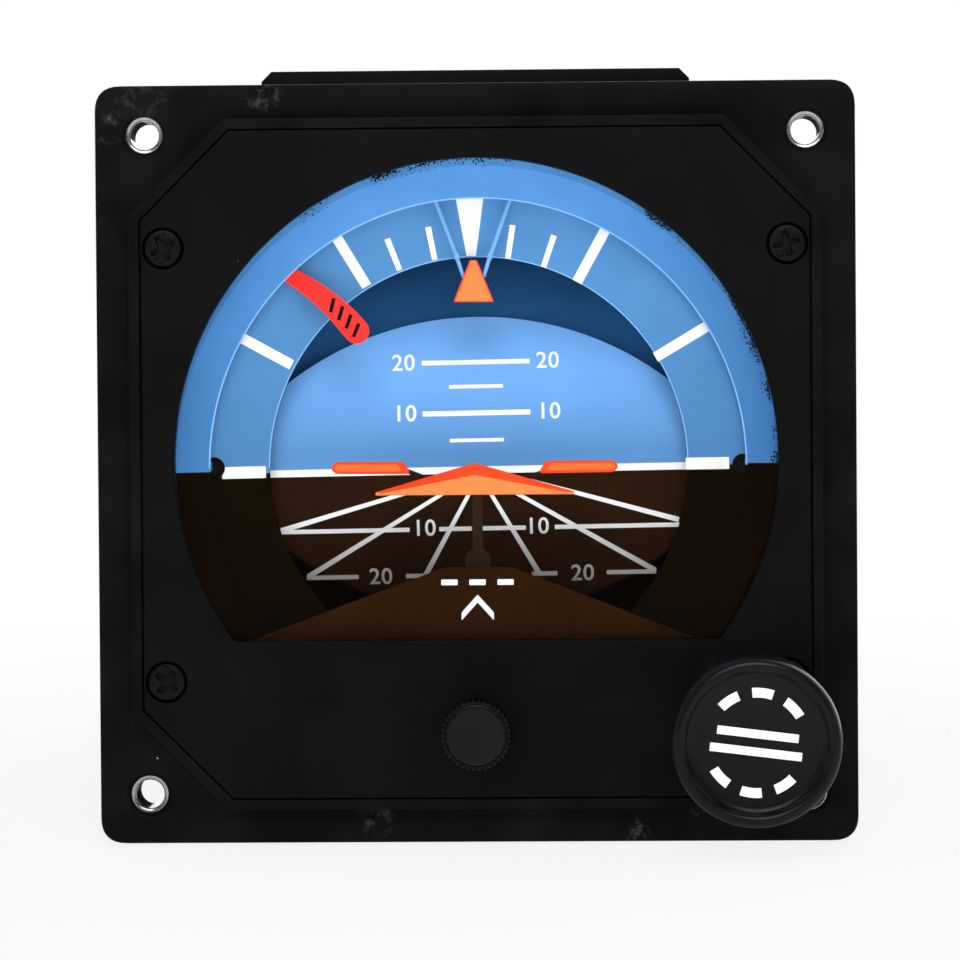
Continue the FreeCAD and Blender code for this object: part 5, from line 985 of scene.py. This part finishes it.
def horizon_drum():
    lines = [level_strip(-31.4, 31.4, -0.5, 0.86, 24)]
    for z, half_length, width in ((3.1, 3.27, 0.44), (6.38, 6.52, 0.62), (9.6, 3.27, 0.44), (12.55, 6.54, 0.58)):
        lines.append(level_strip(-half_length, half_length, z, width))
    pieces = [drum_sheet(), painted("upper_lines", lines, on_drum, WHITE, DRUM_SHIFT)]
    ground = [
        level_strip(left, right, -7.6, 0.52)
        for left, right in ((-24.1, -8.4), (-4.8, -0.85), (0.4, 5.7), (9.2, 24.3))
    ] + [
        level_strip(left, right, -13.28, 0.52)
        for left, right in ((-21.1, -14.8), (-9.0, -5.4), (6.3, 9.4), (15.4, 21.4))
    ]
    for start, end in (
        (-1.8, (-24.0, -7.42)), (-0.75, (-20.95, -13.15)), (0.15, (-6.65, -13.25)), (0.3, (7.2, -13.25)),
        (0.9, (21.3, -13.15)), (3.86, (24.2, -7.0)),
    ):
        ground.append(strip((start, -1.2), end, 0.42, 0.62, 12))
    # Where two lines cross, the later one lies a little higher.
    for index, line in enumerate(ground):
        ink = 0.026 + 0.0015 * index
        pieces.append(painted("ground_line", [line], on_drum, GROUND_INK, DRUM_SHIFT, ink=ink))
    for text, x, z in (("20", -8.78, 12.55), ("20", 8.72, 12.55), ("10", -8.65, 6.4), ("10", 8.78, 6.4)):
        pieces.append(figures(text, x, z, WHITE))
    for text, x, z in (("10", -6.6, -7.5), ("10", 7.1, -7.5), ("20", -12.08, -13.35), ("20", 12.46, -13.35)):
        pieces.append(figures(text, x, z, GROUND_INK))
    finish_piece(joined("horizon_drum_painted", pieces), "pitch_unit", ["horizon_drum"])


def warning_flag():
    """Red flag on a curved arm that widens towards its round tip, with four black bars."""
    flag = paint_with(eased_copy("warning_flag", 0.1), RED)
    face = reach("warning_flag")[0].y + 0.25
    pivot = Vector((-35.4, -1.2))
    middle, half_width, tip_radius, tip_angle = 27.05, 1.25, 1.5, 38.7
    for vertex in flag.data.vertices:
        out = Vector((vertex.co.x / MM - pivot.x, vertex.co.z / MM - pivot.y))
        degrees = math.degrees(math.atan2(out.y, out.x))
        if tip_angle < degrees < 70 and abs(out.length - middle) < tip_radius + 0.05:
            along = math.radians(degrees - tip_angle) * middle
            built = max(math.sqrt(max(tip_radius ** 2 - along ** 2, 0)), half_width)
            wanted = tip_radius - 0.56 * min(max((degrees - 41) / 20, 0), 1)
            out = out.normalized() * (middle + (out.length - middle) * wanted / built)
            vertex.co.x = (pivot.x + out.x) * MM
            vertex.co.z = (pivot.y + out.y) * MM
    bars = []
    for degrees in (38.9, 41.8, 44.7, 47.6):
        inner = pivot + polar(degrees - 0.9, 26.3)
        outer = pivot + polar(degrees + 0.9, 27.85)
        bars.append(printed("flag_bar", strip(inner, outer, 0.48, 0.48, 1), face))
    hatch = paint_with(joined("hatch", bars), BLACK_INK)
    finish_piece(joined("flag_painted", [flag, hatch]), "flag", ["warning_flag"])


def wire(name, points, radii, finish):
    """Round wire through points in millimetres, bent sharply at each, with a radius at each."""
    line = bpy.data.curves.new(name, "CURVE")
    line.dimensions = "3D"
    line.bevel_depth = MM
    line.bevel_resolution = 4
    line.use_fill_caps = True
    spline = line.splines.new("POLY")
    spline.points.add(len(points) - 1)
    for knot, place, radius in zip(spline.points, points, radii):
        knot.co = (place * MM).to_4d()
        knot.radius = radius
    return smooth(paint_with(merge(settled(shown(name, line))), finish), 60)


def bank_pointer():
    low, high = reach("bank_pointer")
    middle = (low.x + high.x) / 2 - 0.38
    layers = []
    for name, wide, narrow, base, top, corner, front, back, edge, rounds, finish in (
        ("pointer_plate", 2.43, 0.43, low.z, high.z, 0.16, low.y + 0.02, high.y, 0.1, 2, DEEP_ORANGE),
        ("pointer_face", 2.2, 0.3, low.z + 0.12, high.z - 0.1, 0.12, low.y, low.y + 0.2, 0.02, 1, ORANGE),
    ):
        outline = [(middle - wide, base), (middle + wide, base), (middle + narrow, top), (middle - narrow, top)]
        layers.append(paint_with(flat_piece(name, [eased(outline, corner, 3)], front, back, edge, rounds), finish))
    finish_piece(joined("pointer_painted", layers), "case", ["bank_pointer"])
    leg_low, leg_high = reach("pointer_legs")
    drop = [(0, -0.5), (0.27, -0.42), (0.36, -0.15), (0.36, 0.15), (0.27, 0.42), (0, 0.5)]
    legs = []
    for side in (-1, 1):
        foot = Vector((middle + side * 4.95, mask_high.y + 0.28, leg_high.z - 0.1))
        knee = Vector((middle + side * 2.0, low.y + 0.15, DIAL.z + 25.05))
        toe = Vector((middle + side * 1.2, high.y + 0.12, leg_low.z + 0.2))
        legs.append(wire("pointer_wire", [foot, knee, toe], [0.24, 0.25, 0.22], PALE_WIRE))
        bead = turned("wire_bead", drop, count=24)
        lean = (toe - foot).to_track_quat("Y", "Z").to_matrix().to_4x4()
        bead.data.transform(Matrix.Translation(knee * MM) @ lean)
        legs.append(smooth(paint_with(bead, PALE_WIRE), 80))
    finish_piece(joined("pointer_wires", legs), "case", ["pointer_legs"])


# ---------------------------------------------------------------- airplane symbol


def symbol_points(half_outline):
    """Outline of the symbol in the dial's place, from its right half."""
    return [(x + SYMBOL_SHIFT, z + DIAL.z) for x, z in mirrored_outline(half_outline)]


def delta():
    """Flat delta with a raised face: its upper and end facets are a deeper orange."""
    low, high = reach("airplane_delta")
    outer = symbol_points([(0, 0.46), (11.75, -2.95), (11.7, -3.3)])
    inner = symbol_points([(0, -0.95), (10.9, -3.02), (10.8, -3.2)])
    shape = bmesh.new()
    rim, front, back = [
        [shape.verts.new(Vector((x, y, z)) * MM) for x, z in outline]
        for outline, y in ((outer, low.y + 0.45), (inner, low.y), (outer, high.y))
    ]
    shape.faces.new(front)
    for i in range(len(outer)):
        j = (i + 1) % len(outer)
        shape.faces.new([rim[i], rim[j], front[j], front[i]])
        shape.faces.new([back[i], back[j], rim[j], rim[i]])
    shape.faces.new(back)
    piece = paint_with(made("delta", shape), ORANGE, DEEP_ORANGE)
    for face in piece.data.polygons:
        face.material_index = int(face.normal.z > 0.1 or abs(face.normal.x) > 0.5)
    softened = piece.modifiers.new("eased", "BEVEL")
    softened.width = 0.08 * MM
    softened.segments = 2
    finish_piece(smooth(settled(piece), 30), "symbol", ["airplane_delta"])


def wings_and_slider():
    front, back = (corner.y for corner in reach("airplane_delta"))
    bars = []
    for side in (-1, 1):
        for name, points, corner, first, last, edge, rounds, finish in (
            (
                "wing_rim",
                ((7.5, -0.8), (16.35, -0.72), (16.87, -0.25), (16.87, 0.25), (16.35, 0.7), (8.4, 0.66)),
                0.35, front + 0.12, back, 0.2, 3, DEEP_ORANGE,
            ),
            (
                "wing_face",
                ((8.4, -0.5), (16.2, -0.46), (16.52, -0.15), (16.52, 0.15), (16.2, 0.42), (9.1, 0.4)),
                0.2, front, front + 0.4, 0.08, 2, WING_ORANGE,
            ),
        ):
            outline = [(side * x + SYMBOL_SHIFT, z + DIAL.z) for x, z in points]
            bar = flat_piece(name, [eased(outline, corner, 4)], first, last, edge, rounds)
            bars.append(paint_with(bar, finish))
    finish_piece(joined("wing_bars", bars), "symbol", ["airplane_wings"])
    slider = paint_with(eased_copy("symbol_slider", 0.08), STEM_BROWN)
    finish_piece(slider, "symbol", ["symbol_slider"])


# ---------------------------------------------------------------- knobs


def erect_knob():
    """Dished knob, with two bars and six arcs where the object has lettering."""
    low, high = reach("erect_knob")
    centre = (low + high) / 2
    front, back = low.y, high.y
    profile = [
        (1.65, back), (8.2, back), (9.2, back - 0.25), (9.6, back - 0.7), (9.65, back - 1.4), (9.65, front + 1.5),
        (9.6, front + 0.95), (9.42, front + 0.5), (9.1, front + 0.16), (8.75, front + 0.02), (8.4, front + 0.08),
        (8.15, front + 0.32), (7.95, front + 0.75), (7.7, front + 1.0), (7.2, front + 1.06), (5.0, front + 1.14),
        (2.5, front + 1.2), (0, front + 1.22), (0, front + 3.0), (1.65, front + 3.0),
    ]
    knob = paint_with(turned("knob_body", profile, centre, 160), KNOB_BLACK)

    def on_face(x, z, lift):
        sunk = 1.22 - 0.16 * min(math.hypot(x, z) / 7.2, 1.0)
        return Vector((centre.x + x, front + sunk - lift, centre.z + z))

    shapes = []
    for start in (38, 78, 118, 218, 258, 298):
        first, last = math.radians(start), math.radians(start + 24)
        shapes.append(arc(6.2, first, last, 8) + arc(5.1, last, first, 8))
    shapes += [rectangle(-4.6, 4.6, 0.5, 1.45), rectangle(-5.2, 5.2, -1.5, -0.55)]
    marks = painted("knob_marks", shapes, on_face, WHITE, 0.0, math.radians(-7))
    finish_piece(joined("erect_knob_moulded", [knob, marks]), "erecting_rod", ["erect_knob"])


def knurl_ridge(front, back):
    """One ridge of the knurl, with its foot sunk in the knob and both ends tapered."""
    width, tip, foot = 0.27, 0.33, -0.12
    shape = bmesh.new()
    rows = []
    for y, shrink in ((front + 0.85, 0.55), (front + 1.1, 1.0), (back - 0.3, 1.0), (back - 0.05, 0.6)):
        tall = tip * shrink
        side = [(foot, width), (tall * 0.45, width * 0.9), (tall, width * 0.35)]
        section = [(x, -z) for x, z in side] + side[::-1]
        rows.append([shape.verts.new(Vector((x, y, z)) * MM) for x, z in section])
    for one, two in zip(rows, rows[1:]):
        for i in range(len(one)):
            j = (i + 1) % len(one)
            shape.faces.new([one[i], one[j], two[j], two[i]])
    shape.faces.new(rows[0])
    shape.faces.new(rows[-1][::-1])
    return made("ridge", shape)


def adjust_knob():
    low, high = reach("adjust_knob")
    centre = Vector(((low.x + high.x) / 2, 0, (low.z + high.z) / 2))
    front, back = low.y, high.y
    root, teeth_count = 3.72, 38
    core = turned("adjust_core", [
        (1.3, back), (3.5, back), (root, back - 0.25), (root, front + 1.15), (3.5, front + 0.95),
        (3.35, front + 0.9), (3.35, front + 0.15), (3.2, front), (0, front), (0, back - 5.0), (1.3, back - 5.0),
    ], centre, 96)
    ridge = knurl_ridge(front, back)
    carrier = shown("adjust_teeth", bpy.data.meshes.new("adjust_teeth"))
    teeth = run_tree(carrier, toothed_ring_tree(), {
        "Teeth": teeth_count, "Radius": root * MM, "Piece": ridge, "Finish": KNURL_BLACK,
    })
    bpy.data.objects.remove(ridge)
    teeth.data.transform(Matrix.Translation(centre * MM))
    whole = joined("adjust_knob_knurled", [paint_with(core, KNURL_BLACK), smooth(teeth, 25)])
    finish_piece(whole, "adjuster", ["adjust_knob"])


# ---------------------------------------------------------------- case and rear


def case_details():
    for node, width, finish, slot in (
        ("case_shell", 0.4, CASE_BLACK, "black_paint"), ("top_cover", 0.35, CASE_BLACK, "black_paint"),
        ("rear_cover", 0.4, CASE_BLACK, "black_paint"), ("connector_shell", 0.2, OLIVE, "plated_connector"),
        ("front_seal", 0.05, RUBBER, "rubber"),
    ):
        finish_piece(paint_with(eased_copy(node, width), finish), "case", [node])


# ---------------------------------------------------------------- floor, light and camera


def mirrored(tree, ray):
    """1 for a ray that a gloss threw back, 0 for one that only came through the window glass."""
    plain = add(tree, "ShaderNodeMath", {
        0: 1.0, 1: ray.outputs["Is Transmission Ray"],
    }, 0, operation="SUBTRACT")
    return add(tree, "ShaderNodeMath", {0: plain, 1: ray.outputs["Is Glossy Ray"]}, 0, operation="MULTIPLY")


WHITE_LIGHT = (1, 1, 1, 1)


def white_floor():
    """Plain white floor that lights the part from below but isn't mirrored in it."""
    shape = bmesh.new()
    bmesh.ops.create_grid(shape, x_segments=1, y_segments=1, size=4.0)
    bmesh.ops.translate(shape, verts=shape.verts, vec=(0, 0, (bezel_low.z - 0.3) * MM))
    floor = made("floor", shape, outwards=False)
    material = bpy.data.materials.new("white studio floor")
    tree = bare_tree(material)
    ray = add(tree, "ShaderNodeLightPath")
    sheet = add(tree, "ShaderNodeBsdfDiffuse", {"Color": colour("#e6e6e6")}, "BSDF")
    seen = add(tree, "ShaderNodeMath", {
        0: ray.outputs["Is Camera Ray"], 1: mirrored(tree, ray),
    }, 0, operation="MAXIMUM")
    strength = add(tree, "ShaderNodeMapRange", {"Value": seen, "To Min": 1.3, "To Max": 0.0}, "Result")
    under_light = add(tree, "ShaderNodeEmission", {"Color": WHITE_LIGHT, "Strength": strength}, "Emission")
    matt = add(tree, "ShaderNodeAddShader", {0: sheet, 1: under_light}, "Shader")
    lit = add(tree, "ShaderNodeEmission", {"Color": WHITE_LIGHT, "Strength": 1.0}, "Emission")
    place = add(tree, "ShaderNodeTexCoord", out="Object")
    whiter = by_distance(tree, place, (0, 0, 0), 120, 500, 0.86, 1.0)
    share = add(tree, "ShaderNodeMath", {
        0: ray.outputs["Is Camera Ray"], 1: whiter,
    }, 0, operation="MULTIPLY")
    mixed = add(tree, "ShaderNodeMixShader", {0: share, 1: matt, 2: lit}, "Shader")
    add(tree, "ShaderNodeOutputMaterial", {"Surface": mixed})
    paint_with(floor, material)


def white_world():
    """White backdrop. Its light is dim in front of the part and stronger behind it."""
    world = bpy.data.worlds.new("studio")
    scene.world = world
    tree = bare_tree(world)
    ray = add(tree, "ShaderNodeLightPath")
    outlook = add(tree, "ShaderNodeTexCoord", out="Generated")
    ahead = add(tree, "ShaderNodeSeparateXYZ", {"Vector": outlook}, "Y")
    light, gleam = [
        add(tree, "ShaderNodeMapRange", {
            "Value": ahead, "From Min": -0.05, "From Max": 0.45, "To Min": front, "To Max": behind,
        }, "Result")
        for front, behind in ((0.18, 0.9), (0.015, 2.4))
    ]
    level = add(tree, "ShaderNodeMix", {"Factor": mirrored(tree, ray), 2: light, 3: gleam}, 0)
    dim, white = [
        add(tree, "ShaderNodeBackground", {"Color": WHITE_LIGHT, "Strength": strength}, "Background")
        for strength in (level, 1.0)
    ]
    mixed = add(tree, "ShaderNodeMixShader", {0: ray.outputs["Is Camera Ray"], 1: dim, 2: white}, "Shader")
    add(tree, "ShaderNodeOutputWorld", {"Surface": mixed})


def lamps():
    """Soft boxes off to the sides, so that flat faces don't mirror them, and a fill behind."""
    for name, place, size, power in (
        ("left softbox", (-0.62, -0.40, 0.22), 0.4, 0.2),
        ("right softbox", (0.62, -0.40, 0.18), 0.4, 0.2),
        ("top softbox", (0.0, -0.50, 0.46), 0.45, 2.3),
        ("rear fill", (0.3, 0.8, 0.5), 0.5, 2.0),
    ):
        lamp = bpy.data.lights.new(name, "AREA")
        lamp.shape = "SQUARE"
        lamp.size = size
        lamp.energy = power
        holder = shown(name, lamp)
        holder.location = place
        holder.rotation_euler = (Vector((0, 0.02, 0)) - Vector(place)).to_track_quat("-Z", "Y").to_euler()


def camera():
    lens = bpy.data.cameras.new("camera")
    lens.sensor_fit = "HORIZONTAL"
    lens.angle = math.radians(15.98)
    lens.clip_start = 0.01
    lens.clip_end = 20
    holder = shown("camera", lens)
    spot = Vector((10.2, -400.0, 5.6)) * MM
    target = Vector((0.42, 0.0, -1.98)) * MM
    aim = (target - spot).to_track_quat("-Z", "Y").to_matrix().to_4x4()
    holder.matrix_world = Matrix.Translation(spot) @ aim @ Matrix.Rotation(math.radians(-0.42), 4, "Z")
    scene.camera = holder


# ---------------------------------------------------------------- build

flange_and_rim()
front_plate()
fasteners()
inserts()
mask_ring()
lower_mask()
bank_ring()
horizon_drum()
warning_flag()
bank_pointer()
delta()
wings_and_slider()
erect_knob()
adjust_knob()
case_details()
white_floor()
white_world()
lamps()
camera()
scene.view_settings.view_transform = "Standard"

bpy.context.view_layer.update()
